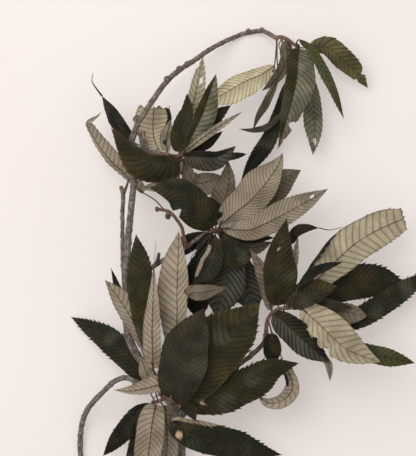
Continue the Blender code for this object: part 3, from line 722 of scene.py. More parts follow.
@dataclass(frozen=True)
class BladeFinish:
    """The finish of one side of a dried leaf. Its tint and dullness are painted on the mesh.

    A scale is how many of its kind come to a metre, and a span is where a smooth step begins and ends.
    """

    name: str
    vein_colour: Colour
    vein_width: float  # half the width of a side vein's line, as a share of the pitch
    vein_strength: float
    rib_width: float  # half the width of the line along the midrib
    rib_strength: float
    patch_strength: float
    net_strength: float
    net_depth: float
    specular: float
    vein_edge: Pair = (0.5, 1.6)  # of its half width, between which the line fades
    rib_edge: Pair = (0.6, 1.6)
    patch_scale: float = 42.0
    patch_detail: float = 4.0
    patch_span: Pair = (0.3, 0.7)
    fleck_scale: float = 420.0
    fleck_detail: float = 2.0
    fleck_span: Pair = (0.2, 0.8)
    fleck_light: Pair = (0.88, 1.12)
    fleck_dull: Pair = (-0.06, 0.08)
    net_scale: float = 900.0
    net_span: Pair = (0.02, 0.12)

    def material(self) -> bpy.types.Material:
        """Build it.

        Returns:
            The material.
        """
        paint = Paint(self.name)
        source = {"Vector": paint.node("ShaderNodeUVMap", "UV", {}, uv_map="grain")}
        along = paint.node("ShaderNodeSeparateXYZ", "X", source)
        turn = paint.maths("FRACT", paint.maths("ADD", along, 0.5))
        from_vein = paint.maths("ABSOLUTE", paint.maths("SUBTRACT", turn, 0.5))
        vein = paint.step(from_vein, tuple(self.vein_width * part for part in self.vein_edge), FALLING)
        from_rib = paint.maths("ABSOLUTE", paint.node("ShaderNodeSeparateXYZ", "Y", source))
        rib = paint.step(from_rib, tuple(self.rib_width * part for part in self.rib_edge), FALLING)

        place = paint.place()
        patches = paint.cloud(place, self.patch_scale, self.patch_detail)
        flecks = paint.cloud(place, self.fleck_scale, self.fleck_detail)
        net = paint.step(paint.cells(place, self.net_scale, "DISTANCE_TO_EDGE"), self.net_span, FALLING)

        patch_light = (1.0 - self.patch_strength, 1.0 + self.patch_strength)
        worn = paint.attribute("tint")
        for light in (paint.step(patches, self.patch_span, patch_light),
                      paint.step(flecks, self.fleck_span, self.fleck_light)):
            worn = paint.blend(1.0, worn, paint.grey(light), "MULTIPLY")
        for line, strength in ((net, self.net_strength), (vein, self.vein_strength),
                               (rib, self.rib_strength)):
            worn = paint.blend(paint.maths("MULTIPLY", line, strength), worn, self.vein_colour)

        roughness = paint.maths("ADD", paint.attribute("dull", "Fac"),
                                paint.step(flecks, self.fleck_span, self.fleck_dull))
        relief = paint.maths("ADD", paint.maths("MULTIPLY", net, -1.0), flecks)
        return paint.done({"Base Color": worn, "Roughness": roughness,
                           "Normal": paint.bump(relief, self.net_depth), "Specular IOR Level": self.specular})


@dataclass(frozen=True)
class StalkFinish:
    """The finish of midribs and leaf stalks: tinted, with lengthwise streaks."""

    name: str = "leaf_stalk"
    streak_colour: Colour = linear(96, 74, 58)
    streak_scale: float = 260.0
    streak_span: Pair = (0.35, 0.75)
    streak_strength: float = 0.45
    streak_depth: float = 0.00012
    specular: float = 0.35

    def material(self) -> bpy.types.Material:
        """Build it.

        Returns:
            The material.
        """
        paint = Paint(self.name)
        streaks = paint.cloud(paint.place(), self.streak_scale)
        share = paint.step(streaks, self.streak_span, (0.0, self.streak_strength))
        return paint.done({"Base Color": paint.blend(share, paint.attribute("tint"), self.streak_colour),
                           "Roughness": paint.attribute("dull", "Fac"),
                           "Normal": paint.bump(streaks, self.streak_depth),
                           "Specular IOR Level": self.specular})


@dataclass(frozen=True)
class BarkFinish:
    """The finish of wood: tinted bark with lengthwise cracks, pores and a dusty bloom.

    Scales and spans are as in BladeFinish, and the stretches draw cracks and pores out along the grain.
    """

    name: str
    crack_colour: Colour
    dust_colour: Colour
    crack_strength: float
    dust_strength: float
    relief: float
    dullness: float
    specular: float = 0.25
    crack_scale: float = 620.0
    crack_stretch: tuple[float, float, float] = (1.0, 1.0, 0.16)
    crack_detail: float = 5.0
    crack_span: Pair = (0.42, 0.62)
    pore_scale: float = 210.0
    pore_stretch: tuple[float, float, float] = (1.0, 1.0, 0.55)
    pore_span: Pair = (0.12, 0.26)
    pore_strength: float = 0.6
    pore_height: float = 0.8
    mottle_scale: float = 90.0
    mottle_span: Pair = (0.3, 0.7)
    mottle_strength: float = 0.45
    dust_scale: float = 240.0
    dust_span: Pair = (0.48, 0.72)
    detail: float = 4.0

    def material(self) -> bpy.types.Material:
        """Build it.

        Returns:
            The material.
        """
        paint = Paint(self.name)
        straight = paint.attribute("straight", "Vector")
        long_way = paint.stretched(straight, self.crack_stretch)
        split = paint.cloud(long_way, self.crack_scale, self.crack_detail)
        cracks = paint.step(split, self.crack_span, FALLING)
        dots = paint.cells(paint.stretched(straight, self.pore_stretch), self.pore_scale)
        pores = paint.step(dots, self.pore_span, FALLING)
        mottle = paint.cloud(straight, self.mottle_scale, self.detail)
        dust = paint.step(paint.cloud(straight, self.dust_scale, self.detail), self.dust_span)

        colour = paint.blend(paint.step(mottle, self.mottle_span, (0.0, self.mottle_strength)),
                             paint.attribute("tint"), self.crack_colour)
        for layer, strength, shade in ((cracks, self.crack_strength, self.crack_colour),
                                       (dust, self.dust_strength, self.dust_colour),
                                       (pores, self.pore_strength, self.crack_colour)):
            colour = paint.blend(paint.maths("MULTIPLY", layer, strength), colour, shade)
        height = paint.maths("SUBTRACT", paint.maths("MULTIPLY", pores, self.pore_height), cracks)
        return paint.done({"Base Color": colour, "Roughness": self.dullness,
                           "Normal": paint.bump(height, self.relief), "Specular IOR Level": self.specular})


@dataclass(frozen=True)
class FloorFinish:
    """A plain pale matt floor with a barely uneven tone, and a painted glow that lifts the shadows on it."""

    name: str = "pale_floor"
    colour: Colour = linear(203, 195, 192)
    shaded: Colour = linear(200, 191, 188)
    tone_scale: float = 1.6
    tone_detail: float = 1.0
    tone_span: Pair = (0.3, 0.7)
    # Painted light: the floor glows though it is no lamp, so that the shadows on it are fainter.
    glow: Colour = linear(246, 237, 233)
    glow_strength: float = 0.33
    dullness: float = 0.9
    specular: float = 0.2

    def material(self) -> bpy.types.Material:
        """Build it.

        Returns:
            The material.
        """
        paint = Paint(self.name)
        tone = paint.step(paint.cloud(paint.place(), self.tone_scale, self.tone_detail), self.tone_span)
        return paint.done({"Base Color": paint.blend(tone, self.colour, self.shaded),
                           "Roughness": self.dullness, "Specular IOR Level": self.specular,
                           "Emission Color": self.glow, "Emission Strength": self.glow_strength})


LEAF_FINISHES = (
    BladeFinish("leaf_upper_side", linear(26, 25, 15), 0.07, 0.4, 0.5, 0.5, 0.3, 0.12, 0.00012, 0.17),
    BladeFinish("leaf_underside", linear(84, 68, 54), 0.042, 0.68, 0.45, 0.6, 0.12, 0.12, 0.00008, 0.15),
    StalkFinish(),
)
OLD_BARK = BarkFinish("old_bark", linear(60, 53, 50), linear(176, 167, 160), 0.66, 0.7, 0.0008, 0.88)
YOUNG_BARK = BarkFinish("young_bark", linear(60, 46, 40), linear(170, 148, 130), 0.55, 0.6, 0.0005, 0.8)


def outline(share: float, belly: float) -> float:
    """How far a blade reaches out.

    Args:
        share: The share of its length.
        belly: The share at its widest place.

    Returns:
        Its reach there, against that at the widest place.
    """
    bent = min(1.0, max(0.0, share)) ** (math.log(0.5) / math.log(belly))
    return math.sin(math.pi * bent) ** (BASE_ROUNDNESS + TIP_TAPER * share)


class Blade:
    """A leaf's blade: a thin pleated sheet on its midrib's route, with toothed margins."""

    def __init__(self, leaf: Leaf, seed: int) -> None:
        """Read the leaf's route and work out its veins and its looks.

        Args:
            leaf: The leaf.
            seed: The number that its small unevenness is drawn from.
        """
        self.leaf = leaf
        spots = [at_place(spot) for spot in leaf.midrib]
        back = at_place(leaf.stalk[-1]) - spots[0]
        spots[0] = spots[0] + back * min(BLADE_BACK_SHARE, BLADE_BACK * MM / back.length)
        self.route = Route(spots)
        self.length = self.route.length / MM
        self.veins = max(FEWEST_VEINS, round(self.length / leaf.pitch))
        self.pitch = self.length / self.veins
        self.drift = Vector([seed * step for step in DRIFT_STEPS])
        self.draw = random.Random(seed)
        self.upward = -1 if leaf.look.pale else 1
        self.gain = self.draw.uniform(*LEAF_GAIN)
        self.bristles = {half: [self.draw.uniform(LEAST_TOOTH, MOST_TOOTH) for _ in range(self.veins + 1)]
                         for half in Half}
        width = (leaf.left[0] + leaf.right[0]) / 2 * SQUARE
        self.lean = min(MOST_LEAN, VEIN_LEAN * width / self.length)
        self.shades = {(half, upper): self._shade(half, upper) for half in Half for upper in (True, False)}

    def _shade(self, half: Half, upper: bool) -> tuple[Shade, Colour]:
        """Pick the looks of one side of a half.

        Args:
            half: The half.
            upper: Whether it is the upper side.

        Returns:
            Its looks, and the colour of its margin.
        """
        other = self.leaf.other
        look = other[1] if other and other[0] is half else self.leaf.look
        if upper == look.pale:
            hidden = (UPPER_SHEEN_AND_AGEING if upper else UNDER_AGEING).hidden
            return hidden, hidden.margin
        return look.value, self.leaf.margin or look.value.margin

    def edge(self, half: Half, share: float) -> Vector:
        """Find the margin's middle line.

        Args:
            half: The half that it is on.
            share: The share of the blade's length.

        Returns:
            The way to it from the midrib, in metres.
        """
        leaf = self.leaf
        reach, lift = leaf.left if half is Half.LEFT else leaf.right
        ahead = self.route.ahead(share)
        sideways = Vector((-ahead.y, ahead.x, 0.0)).normalized()
        width = outline(share * leaf.kept, leaf.belly)
        ripple = half.value * WAVE_HEIGHT * math.sin(2 * math.pi * WAVES * share)
        bends = Vector((share * EDGE_BENDS, half.value * HALF_DRIFT, 0.0)) + self.drift
        uneven = 1.0 + EDGE_UNEVENNESS * noise.noise(bends)
        curl = EDGE_CURL * noise.noise(bends * CURL_BENDS) * min(1.0, reach / CURL_FULL)
        way = sideways * half.value * reach * SQUARE * width * uneven
        way += Vector((0.0, 0.0, ((lift + ripple) * STEP + curl) * width))
        least = BASE_HALF_WIDTH + (TIP_HALF_WIDTH - BASE_HALF_WIDTH) * share
        if way.length < least:
            way = sideways * half.value * least
        for bite in leaf.bites:
            if bite.half is half:
                way *= bite.left_over(share)
        return way * MM

    def share_at(self, row: float, out: float) -> float:
        """Find how far along the blade a point of a row lies.

        Args:
            row: The row, counted in side veins from the base.
            out: The column, from 0 to 1.

        Returns:
            The share of the length.
        """
        along = row / self.veins
        bow = 4 * along * (1.0 - along)
        return along - self.lean * bow * 0.5 + self.lean * bow * out**VEIN_CURVE

    def middle(self, half: Half, row: float, phase: int, out: float) -> tuple[Vector, Vector, float]:
        """A point of the blade's middle layer.

        Args:
            half: The half that it is on.
            row: Its row, counted in side veins from the base.
            phase: Its place in ROWS.
            out: How far out it is from the midrib, from 0 to 1.

        Returns:
            The point, the direction of the upper side there, and how wide the blade is there in millimetres.
        """
        share = self.share_at(row, out)
        way = self.edge(half, share)
        ahead = self.route.ahead(share)
        face = ahead.cross(way).normalized() * half.value
        if face.z < STEEPEST:
            face = -face
        face = face * self.upward
        wide = way.length / MM
        fade = inside(share)
        offset, turned = self._across(half, share, way, out, face)
        spot = self.route.at(share) + offset
        pleat = self.leaf.look.value.pleat * min(1.0, wide / PLEAT_FULL) * fade
        bulge = abs(math.sin(math.pi * row)) - PLEAT_MIDDLE
        spot += face * pleat * bulge * MM * eased(0.0, PLEAT_FLAT, out) * PLEAT_HEIGHT
        spot += face * CAMBER * math.sin(math.pi * out) * min(1.0, wide / CAMBER_FULL) * fade * MM
        rough = noise.noise(spot / (CRINKLE_SIZE * MM) + self.drift)
        spot += face * rough * CRINKLE * fade * MM * min(1.0, wide / CRINKLE_FULL)
        strength = self.leaf.teeth * self.bristles[half][min(self.veins, round(row))] * self._toothed(share)
        depth = TOOTH_DEPTH * min(1.0, self.pitch / VEIN_PITCH) * min(1.0, wide / TOOTH_FULL)
        outwards = -1.0 if self._folded(half, share) > HALF_FOLDED else 1.0
        stands = TOOTH_OUT[phase] * eased(TOOTH_START, 1.0, out) * strength * depth
        spot += way.normalized() * outwards * stands * MM
        if phase == 0:
            points = TOOTH_REACH * self.pitch * eased(BRISTLE_START, 1.0, out) * min(1.0, strength)
            spot += ahead * points * MM
        spot.z = max(spot.z, FLOOR_CLEARANCE * MM)
        return spot, turned, wide

    def _folded(self, half: Half, share: float) -> float:
        """How far the margin of that half is folded over there, from 0 to 1."""
        return max((fold.strength(share) for fold in self.leaf.folds if fold.half is half), default=0.0)

    def _across(self, half: Half, share: float, way: Vector, out: float,
                face: Vector) -> tuple[Vector, Vector]:
        """The way out from the midrib to a column, over the flat part and then back along a folded flap.

        Args:
            half: The half that the column is on.
            share: The share of the blade's length.
            way: The way from the midrib to the margin.
            out: The column, from 0 to 1.
            face: The direction of the flat part's upper side.

        Returns:
            The way, in metres, and the direction of the upper side there.
        """
        if not self.leaf.folds:
            return way * out, face
        folded = self._folded(half, share)
        wide = way.length / MM
        radius = min(FOLD_RADIUS * folded, wide * FOLD_SHARE)
        flat = wide - radius
        outwards = way.normalized()
        up = face * self.upward
        if out <= FOLD_START:
            return outwards * flat * out / FOLD_START * MM, face
        turn = math.pi * folded * min(1.0, (out - FOLD_START) / (FOLD_END - FOLD_START))
        spot = outwards * (flat + radius * math.sin(turn)) + up * radius * (1.0 - math.cos(turn))
        if out > FOLD_END:
            width = max(fold.width for fold in self.leaf.folds if fold.half is half) if folded else 0.0
            run = min(width, wide * FLAP_SHARE) * folded * (out - FOLD_END) / (1.0 - FOLD_END)
            spot += (outwards * math.cos(turn) + up * math.sin(turn) * FLAP_RISE) * run
            spot += up * FLAP_LIFT * run
        return spot * MM, (up * math.cos(turn) - outwards * math.sin(turn)) * self.upward

    @staticmethod
    def _toothed(share: float) -> float:
        """How strong the teeth are at that share of the length."""
        return eased(*TOOTHLESS_BASE, share) * (1.0 - TIP_TOOTH_LOSS * eased(BRISTLE_START, 1.0, share))

    def tint(self, half: Half, share: float, out: float, upper: bool, spot: Vector,
             row: float) -> tuple[Colour, float]:
        """The looks at a point of one side.

        Args:
            half: The half that it is on.
            share: Its share of the blade's length.
            out: Its column, from 0 to 1.
            upper: Whether it is on the upper side.
            spot: The point itself, which the patches of painted sheen (paler patches on undersides) and of
                dry brown are drawn from.
            row: Its row, counted in side veins from the base.

        Returns:
            The colour and the dullness.
        """
        shade, margin = self.shades[half, upper]
        sheen_and_ageing = UPPER_SHEEN_AND_AGEING if upper else UNDER_AGEING
        patch = noise.noise(spot / (PATCH_SIZE * MM) + self.drift)
        # Painted sheen: grey patches on upper sides, paler patches on undersides; then patches of dried
        # brown.
        colour = mixed(shade.colour, sheen_and_ageing.sheen_and_bloom, sheen_and_ageing.strength * eased(*PATCH_EDGE, patch))
        colour = mixed(colour, sheen_and_ageing.dry, DRY_STRENGTH * eased(*PATCH_EDGE, -patch))
        colour = mixed(colour, margin, MARGIN_STRENGTH * eased(MARGIN_START, 1.0, out)
                       + TIP_STRENGTH * eased(MARGIN_START, 1.0, share))
        # Painted light and shade: each pleat's ridge is painted lighter and its valley darker.
        ridge_light = abs(math.sin(math.pi * row)) - PLEAT_EVEN
        colour = tuple(part * self.gain * (1.0 + PLEAT_SHADE * shade.pleat * ridge_light) for part in colour)
        for mark in self.leaf.spots:
            gap = mark.gap(share, out * half.value, self.length)
            colour = mixed(colour, SPOT_COLOUR, 1.0 - eased(mark.radius * SPOT_CORE, mark.radius, gap))
        return colour, shade.dullness

    def add_to(self, form: Form) -> None:
        """Add both sides of the blade and its rim.

        Args:
            form: The form that they are added to.
        """
        columns = FOLDED_COLUMNS if self.leaf.folds else COLUMNS
        rows = [(vein + part, phase) for vein in range(self.veins) for phase, part in enumerate(ROWS)]
        rows.append((float(self.veins), 1))
        lanes = [(Half.LEFT, out) for out in reversed(columns)] + [(Half.RIGHT, out) for out in columns[1:]]
        grid = []
        for row, phase in rows:
            line = []
            last = row == self.veins
            for half, out in lanes:
                spot, face, wide = self.middle(half, row, phase, out)
                share = self.share_at(row, out)
                if last and self.leaf.kept < 1.0:
                    spot += self.route.ahead(1.0) * self.draw.uniform(*TORN_TIP) * MM
                on_vein = inside(out) if phase == 0 or last else 0.0
                offs = {True: BLADE_THICKNESS / 2 - VEIN_GROOVE * on_vein,
                        False: -BLADE_THICKNESS / 2 - VEIN_RIDGE * on_vein}
                grain = (row, half.value * out * wide)
                ids = []
                for upper, off in offs.items():
                    colour, dull = self.tint(half, share, out, upper, spot, row)
                    ids.append(form.point(spot + face * off * MM, colour, grain, dull))
                line.append((*ids, self._in_hole(share, out * half.value)))
            grid.append(line)
        self._close(form, grid)

    def _in_hole(self, share: float, side: float) -> bool:
        """Whether a point lies in one of the leaf's holes."""
        return any(hole.gap(share, side, self.length) < hole.radius for hole in self.leaf.holes)

    def _close(self, form: Form, grid: list[list[tuple[int, int, bool]]]) -> None:
        """Lay the faces over the points of both sides, but for the holes, and the rim between them.

        Args:
            form: The form that they are added to.
            grid: The numbers of the points on the two sides, and whether they lie in a hole, row by row.
        """
        flip = self.leaf.look.pale
        for near, far in zip(grid, grid[1:]):
            for k in range(len(near) - 1):
                square = (near[k], near[k + 1], far[k + 1], far[k])
                if any(corner[2] for corner in square):
                    continue
                for side in (Finish.UPPER_SIDE, Finish.UNDER_SIDE):
                    corners = tuple(corner[side] for corner in square)
                    form.face(corners if (side == Finish.UPPER_SIDE) != flip else corners[::-1], side)
            for k, turned in ((0, False), (-1, True)):
                corners = (near[k][0], far[k][0], far[k][1], near[k][1])
                form.face(corners[::-1] if turned != flip else corners, Finish.UPPER_SIDE)
        for line, turned in ((grid[0], True), (grid[-1], False)):
            for a, b in zip(line, line[1:]):
                corners = (a[0], b[0], b[1], a[1])
                form.face(corners[::-1] if turned != flip else corners, Finish.UPPER_SIDE)


@dataclass
class LeafyShoot:
    """A leafy shoot: its young twig, and its leaves with their stalks.

    seed is what its leaves' numbers start from. The voxels, the relief, the tints and the cuts are the
    twig's, as in Wood.
    """

    name: str
    twig: Places
    leaves: dict[str, Leaf]
    buds: tuple[Knot, ...] = ()
    cuts: tuple[Cut, ...] = ()
    bare: tuple[Places, ...] = ()
    bare_colour: Colour = STALK_COLOUR
    bare_radius: float = 0.75
    scar_radius: float = 2.6
    voxel: float = 0.6
    relief: float = 0.5
    root_tint: Colour = linear(168, 130, 108)
    tip_tint: Colour = linear(128, 92, 74)
    seed: int = 0

    def leaf_piece(self, key: str, leaf: Leaf, number: int,
                   materials: list[bpy.types.Material]) -> bpy.types.Object:
        """Build one leaf with its midrib and stalk.

        Args:
            key: The leaf's short name.
            leaf: The leaf.
            number: Its number, which its unevenness is drawn from.
            materials: The leaf's three materials.

        Returns:
            The leaf's object.
        """
        form = Form()
        blade = Blade(leaf, self.seed + number)
        blade.add_to(form)
        down = Vector((0.0, 0.0, -RIB_SUNK * blade.upward * MM))
        form.tube(blade.route, (RIB_ROOT_RADIUS, RIB_TIP_RADIUS), RIB_SIDES, RIB_RING, leaf.rib,
                  Finish.RIB_AND_STALK, RIB_DULL, down)
        form.tube(self.stalk(leaf), (STALK_ROOT_RADIUS, STALK_TIP_RADIUS), STALK_SIDES, STALK_RING,
                  STALK_COLOUR, Finish.RIB_AND_STALK, STALK_DULL, swell=STALK_SWELL)
        if leaf.thread:
            tip = Route.through((leaf.midrib[-1], *leaf.thread))
            form.tube(tip, (leaf.thread_radius, RIB_TIP_RADIUS), RIB_SIDES, STALK_RING,
                      leaf.look.value.margin, Finish.RIB_AND_STALK, THREAD_DULL)
        return form.piece("leaf_" + key, materials)

    def bare_piece(self, materials: list[bpy.types.Material]) -> bpy.types.Object:
        """Build the thin dry stalks and bracts that have lost their blades.

        Args:
            materials: The leaves' three materials.

        Returns:
            Their object.
        """
        form = Form()
        radii = (self.bare_radius * BARE_ROOT, self.bare_radius * BARE_TIP)
        for spots in self.bare:
            form.tube(Route.through(spots), radii, STALK_SIDES, STALK_RING, self.bare_colour,
                      Finish.RIB_AND_STALK, BARE_DULL, swell=BARE_SWELL)
        return form.piece("bare_stalks_" + self.name, materials)

    def stalk(self, leaf: Leaf) -> Route:
        """Lay a leaf's stalk, from the middle of the twig into the first part of the midrib.

        Args:
            leaf: The leaf.

        Returns:
            The stalk's route.
        """
        points = [at_place(spot) for spot in leaf.stalk]
        root = min(Route.through(self.twig).line, key=lambda point: (point - points[0]).length)
        start, after = (at_place(spot) for spot in leaf.midrib[:2])
        return Route([root, *points, start, start.lerp(after, REACH_INTO_BLADE)])

    def build(self, materials: list[bpy.types.Material], bark: bpy.types.Material) -> list[bpy.types.Object]:
        """Build and dress the whole shoot.

        Args:
            materials: The leaves' three materials.
            bark: The twig's material.

        Returns:
            Its pieces.
        """
        wood = Wood("twig_" + self.name, (Rod(self.twig, TWIG_ROOT_RADIUS, TWIG_TIP_RADIUS),), self.scars(),
                    self.voxel, self.relief, self.root_tint, self.tip_tint, self.cuts)
        twig = wood.build(bark)
        pieces = [self.leaf_piece(key, leaf, number, materials)
                  for number, (key, leaf) in enumerate(self.leaves.items())]
        if self.bare:
            pieces.append(self.bare_piece(materials))
        pieces.append(twig)
        for piece in pieces:
            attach(piece, "root")
            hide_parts("shoot_" + self.name)
        return pieces

    def scars(self) -> tuple[Knot, ...]:
        """The swellings at the stalks' roots, which the twig's surface shows, and the buds."""
        swellings = [Knot(leaf.stalk[0], self.scar_radius) for leaf in self.leaves.values()]
        return (*swellings, Knot(self.twig[-1], TWIG_TIP_RADIUS * TIP_BUD[0], TIP_BUD[1]), *self.buds)


@dataclass
class Wood:
    """Wood grown as one body from tapering stems and knots, with bark relief.

    voxel is how fine its surface is and relief is how far the bark stands out. The tints are its colours at
    the root and at the tip of each stem.
    """

    name: str
    rods: tuple[Rod, ...]
    knots: tuple[Knot, ...]
    voxel: float
    relief: float
    root_tint: Colour
    tip_tint: Colour
    cuts: tuple[Cut, ...] = ()

    def build(self, bark: bpy.types.Material) -> bpy.types.Object:
        """Fuse the stems and knots, raise the bark and paint it.

        Args:
            bark: Its material.

        Returns:
            Its object.
        """
        form = Form()
        for rod in self.rods:
            form.tube(Route.through(rod.route), (rod.root, rod.tip), WOOD_SIDES, WOOD_RING, self.root_tint,
                      ONLY_FINISH, BARK_DULL)
        obj = form.piece(self.name, [bark])
        self._add_knots(obj)
        fuse = obj.modifiers.new("fuse", "REMESH")
        fuse.mode = "VOXEL"
        fuse.voxel_size = self.voxel * MM
        fuse.use_smooth_shade = True
        obj.data = self._as_modified(obj)
        self._raise_bark(obj.data)
        obj.data.materials.clear()
        obj.data.materials.append(bark)
        return obj

    def _add_knots(self, obj: bpy.types.Object) -> None:
        """Join a rounded lump to the mesh for each knot.

        Args:
            obj: The object whose mesh it is.
        """
        work = bmesh.new()
        work.from_mesh(obj.data)
        for knot in self.knots:
            ball = bmesh.ops.create_icosphere(work, subdivisions=KNOT_FINENESS, radius=knot.radius * MM)
            made = ball["verts"]
            bmesh.ops.scale(work, vec=(1.0, knot.stretch, 1.0), verts=made)
            bmesh.ops.translate(work, vec=at_place(knot.place), verts=made)
        work.to_mesh(obj.data)
        work.free()

    @staticmethod
    def _as_modified(obj: bpy.types.Object) -> bpy.types.Mesh:
        """Take off the object's modifiers.

        Args:
            obj: The object.

        Returns:
            Its mesh as they leave it.
        """
        bpy.context.view_layer.update()
        graph = bpy.context.evaluated_depsgraph_get()
        mesh = bpy.data.meshes.new_from_object(obj.evaluated_get(graph))
        obj.modifiers.clear()
        return mesh

    def _raise_bark(self, mesh: bpy.types.Mesh) -> None:
        """Raise wrinkles and pores along the grain and paint the tint and the grain.

        Args:
            mesh: The fused mesh.
        """
        samples = []
        for number, rod in enumerate(self.rods):
            route = Route.through(rod.route)
            samples += [(centre, ahead, across, share, share * route.length + number)
                        for share, centre, ahead, across in route.frames(SAMPLE, FEWEST_SAMPLES)]
        tree = kdtree.KDTree(len(samples))
        for i, sample in enumerate(samples):
            tree.insert(sample[0], i)
        tree.balance()

        tints, grain, moved = [], [], []
        for spot, normal in [(vert.co.copy(), vert.normal.copy()) for vert in mesh.vertices]:
            centre, ahead, across, share, along = samples[tree.find(spot)[1]]
            off = spot - centre
            straight = Vector((off.dot(across), off.dot(ahead.cross(across)), along + off.dot(ahead)))
            wrinkle = noise.noise(Vector((straight.x * WRINKLES_ACROSS, straight.y * WRINKLES_ACROSS,
                                          straight.z * WRINKLES_ALONG)))
            knobbly = noise.noise(straight * KNOBBLES)
            lift = (WRINKLE * wrinkle + KNOBBLE * knobbly + self._pores(straight)) * self.relief
            colour = mixed(self.root_tint, self.tip_tint, share)
            for cut in self.cuts:
                colour = mixed(colour, cut.colour, cut.strength(spot))
            spot = spot + normal * lift * MM
            moved.extend((spot.x, spot.y, max(spot.z, 0.0)))
            tints.extend((*colour, 1.0))
            grain.extend(straight)
        mesh.vertices.foreach_set("co", moved)
        mesh.attributes.new("tint", "FLOAT_COLOR", "POINT").data.foreach_set("color", tints)
        mesh.attributes.new("straight", "FLOAT_VECTOR", "POINT").data.foreach_set("vector", grain)
        mesh.shade_smooth()
        mesh.update()

    @staticmethod
    def _pores(straight: Vector) -> float:
        """How far a raised pore stands out there."""
        place = Vector((straight.x * PORES_ACROSS, straight.y * PORES_ACROSS, straight.z * PORES_ALONG))
        return PORE * (1.0 - eased(*PORE_EDGE, noise.voronoi(place)[0][0]))


@dataclass
class Studio:
    """The floor, the soft light and the camera."""

    floor_side: float = 6.0  # metres
    floor_drop: float = 0.0003  # metres below the branch
    key_side: float = 2.2  # metres
    key_power: float = 46.0  # watts
    key_from: tuple[float, float, float] = (-1.1, 1.1, 2.4)  # metres
    fill_colour: tuple[float, float, float, float] = (1.0, 0.985, 0.975, 1.0)
    fill_strength: float = 0.64
    lens: float = 100.0
    sensor: float = 36.0

    def build(self) -> None:
        """Build them all."""
        self.floor()
        self.light()
        self.camera()

    def floor(self) -> None:
        """A wide flat sheet just under the branch."""
        mesh = bpy.data.meshes.new("floor")
        work = bmesh.new()
        bmesh.ops.create_grid(work, x_segments=1, y_segments=1, size=self.floor_side / 2)
        work.to_mesh(mesh)
        work.free()
        obj = bpy.data.objects.new("floor", mesh)
        obj.location.z = -self.floor_drop
        mesh.materials.append(FloorFinish().material())
        bpy.context.scene.collection.objects.link(obj)

    def light(self) -> None:
        """One large soft light from the upper left, and an even glow all round."""
        lamp = bpy.data.lights.new("key", "AREA")
        lamp.shape = "SQUARE"
        lamp.size = self.key_side
        lamp.energy = self.key_power
        obj = bpy.data.objects.new("key", lamp)
        obj.location = self.key_from
        obj.rotation_euler = (-Vector(self.key_from)).to_track_quat("-Z", "Y").to_euler()
        bpy.context.scene.collection.objects.link(obj)
        world = bpy.data.worlds.new("studio")
        world.use_nodes = True
        background = world.node_tree.nodes["Background"]
        background.inputs["Color"].default_value = self.fill_colour
        background.inputs["Strength"].default_value = self.fill_strength
        bpy.context.scene.world = world
        bpy.context.scene.view_settings.view_transform = "Standard"

    def camera(self) -> None:
        """A camera that looks straight down from EYE_HEIGHT over the sheet's middle."""
        data = bpy.data.cameras.new("camera")
        data.lens = self.lens
        data.sensor_width = self.sensor
        obj = bpy.data.objects.new("camera", data)
        obj.location = (-ORIGIN[0] * MM, -ORIGIN[1] * MM, EYE_HEIGHT * MM)
        bpy.context.scene.collection.objects.link(obj)
        bpy.context.scene.camera = obj


OLD_WOOD = (
    # The main stem, from the sawn base that lies on the table, over the arch and down to its tip.
    Rod(((183, 533, 3.2), (182, 496, 3.2), (181.5, 462, 18), (181, 434, 33), (177.5, 410, 46), (165, 393, 54),
         (150, 371, 58), (137, 355, 60), (128, 335, 60), (126, 300, 60), (127, 262, 60), (129, 230, 60),
         (132, 200, 62), (134, 175, 64), (131, 148, 66), (137, 125, 66), (144, 114, 63), (153, 100, 57),
         (167, 81, 46), (181, 69, 37), (192, 62, 30), (210, 49.5, 19), (230, 39, 7), (247, 33, 1.5),
         (262, 31, 8), (270, 34.5, 15), (277, 39, 21)), 7.0, 3.3),
    # A thinner stem that rises beside it and ends in an old cut, and the spur at its top.
    Rod(((137, 352, 58), (129, 333, 52), (125, 300, 48), (123, 262, 46), (122.5, 235, 46), (122.5, 212, 50),
         (123, 197, 55), (121, 186, 58)), 3.6, 3.1),
    Rod(((123, 196, 55), (126, 188, 55), (129, 179, 55)), 2.4, 2.0),
    # The twig that curves down on the left and lies on the table.
    Rod(((160, 387, 54), (148, 386, 50), (140, 385, 46), (128, 378, 42), (115, 381, 36), (102, 393, 28),
         (90, 406, 20), (83, 420, 12), (80, 442, 6), (82, 468, 2.7), (84, 492, 2.7)), 4.2, 4.2),
    # The branches that carry the upper, middle and right shoots, and the stub of a cut one.
    Rod(((131, 149, 65), (140, 151, 68), (150, 152, 69), (160, 153, 69)), 4.4, 3.6),
    Rod(((145, 151, 68), (143, 141, 68), (141, 131, 68)), 5.2, 5.8),
    Rod(((127, 288, 60), (138, 277, 53), (157, 264, 47), (172, 255, 45), (187, 247, 46), (197, 239, 48),
         (206, 234, 52)), 3.9, 3.0),
    Rod(((157, 264, 47), (158, 258, 50), (159, 253, 53)), 3.0, 2.6),
    Rod(((177, 412, 46), (190, 400, 44), (210, 386, 43), (237, 366, 45), (252, 355, 47), (263, 344, 50),
         (266, 336, 52), (266, 329, 54)), 4.2, 3.4),
    Rod(((237, 366, 45), (234, 361, 50), (233, 358, 53)), 3.2, 2.9),
)

OLD_SCARS = (
    Knot((136, 119, 66), 5.0), Knot((187, 64, 37), 4.6), Knot((179, 69, 41), 4.8),
    Knot((167, 79, 49), 5.0), Knot((248, 31, 6.5), 4.0), Knot((262, 29.5, 10), 3.8),
    Knot((125, 288, 50), 4.4), Knot((135, 386, 46), 5.0), Knot((182, 414, 46), 7.0),
    Knot((172, 402, 51), 6.5), Knot((129, 230, 62), 5.6), Knot((181, 470, 16), 6.2),
    Knot((127, 335, 61), 6.0), Knot((252, 354, 48), 4.6), Knot((266, 335, 52), 4.6),
    Knot((183, 505, 6), 6.0),
)

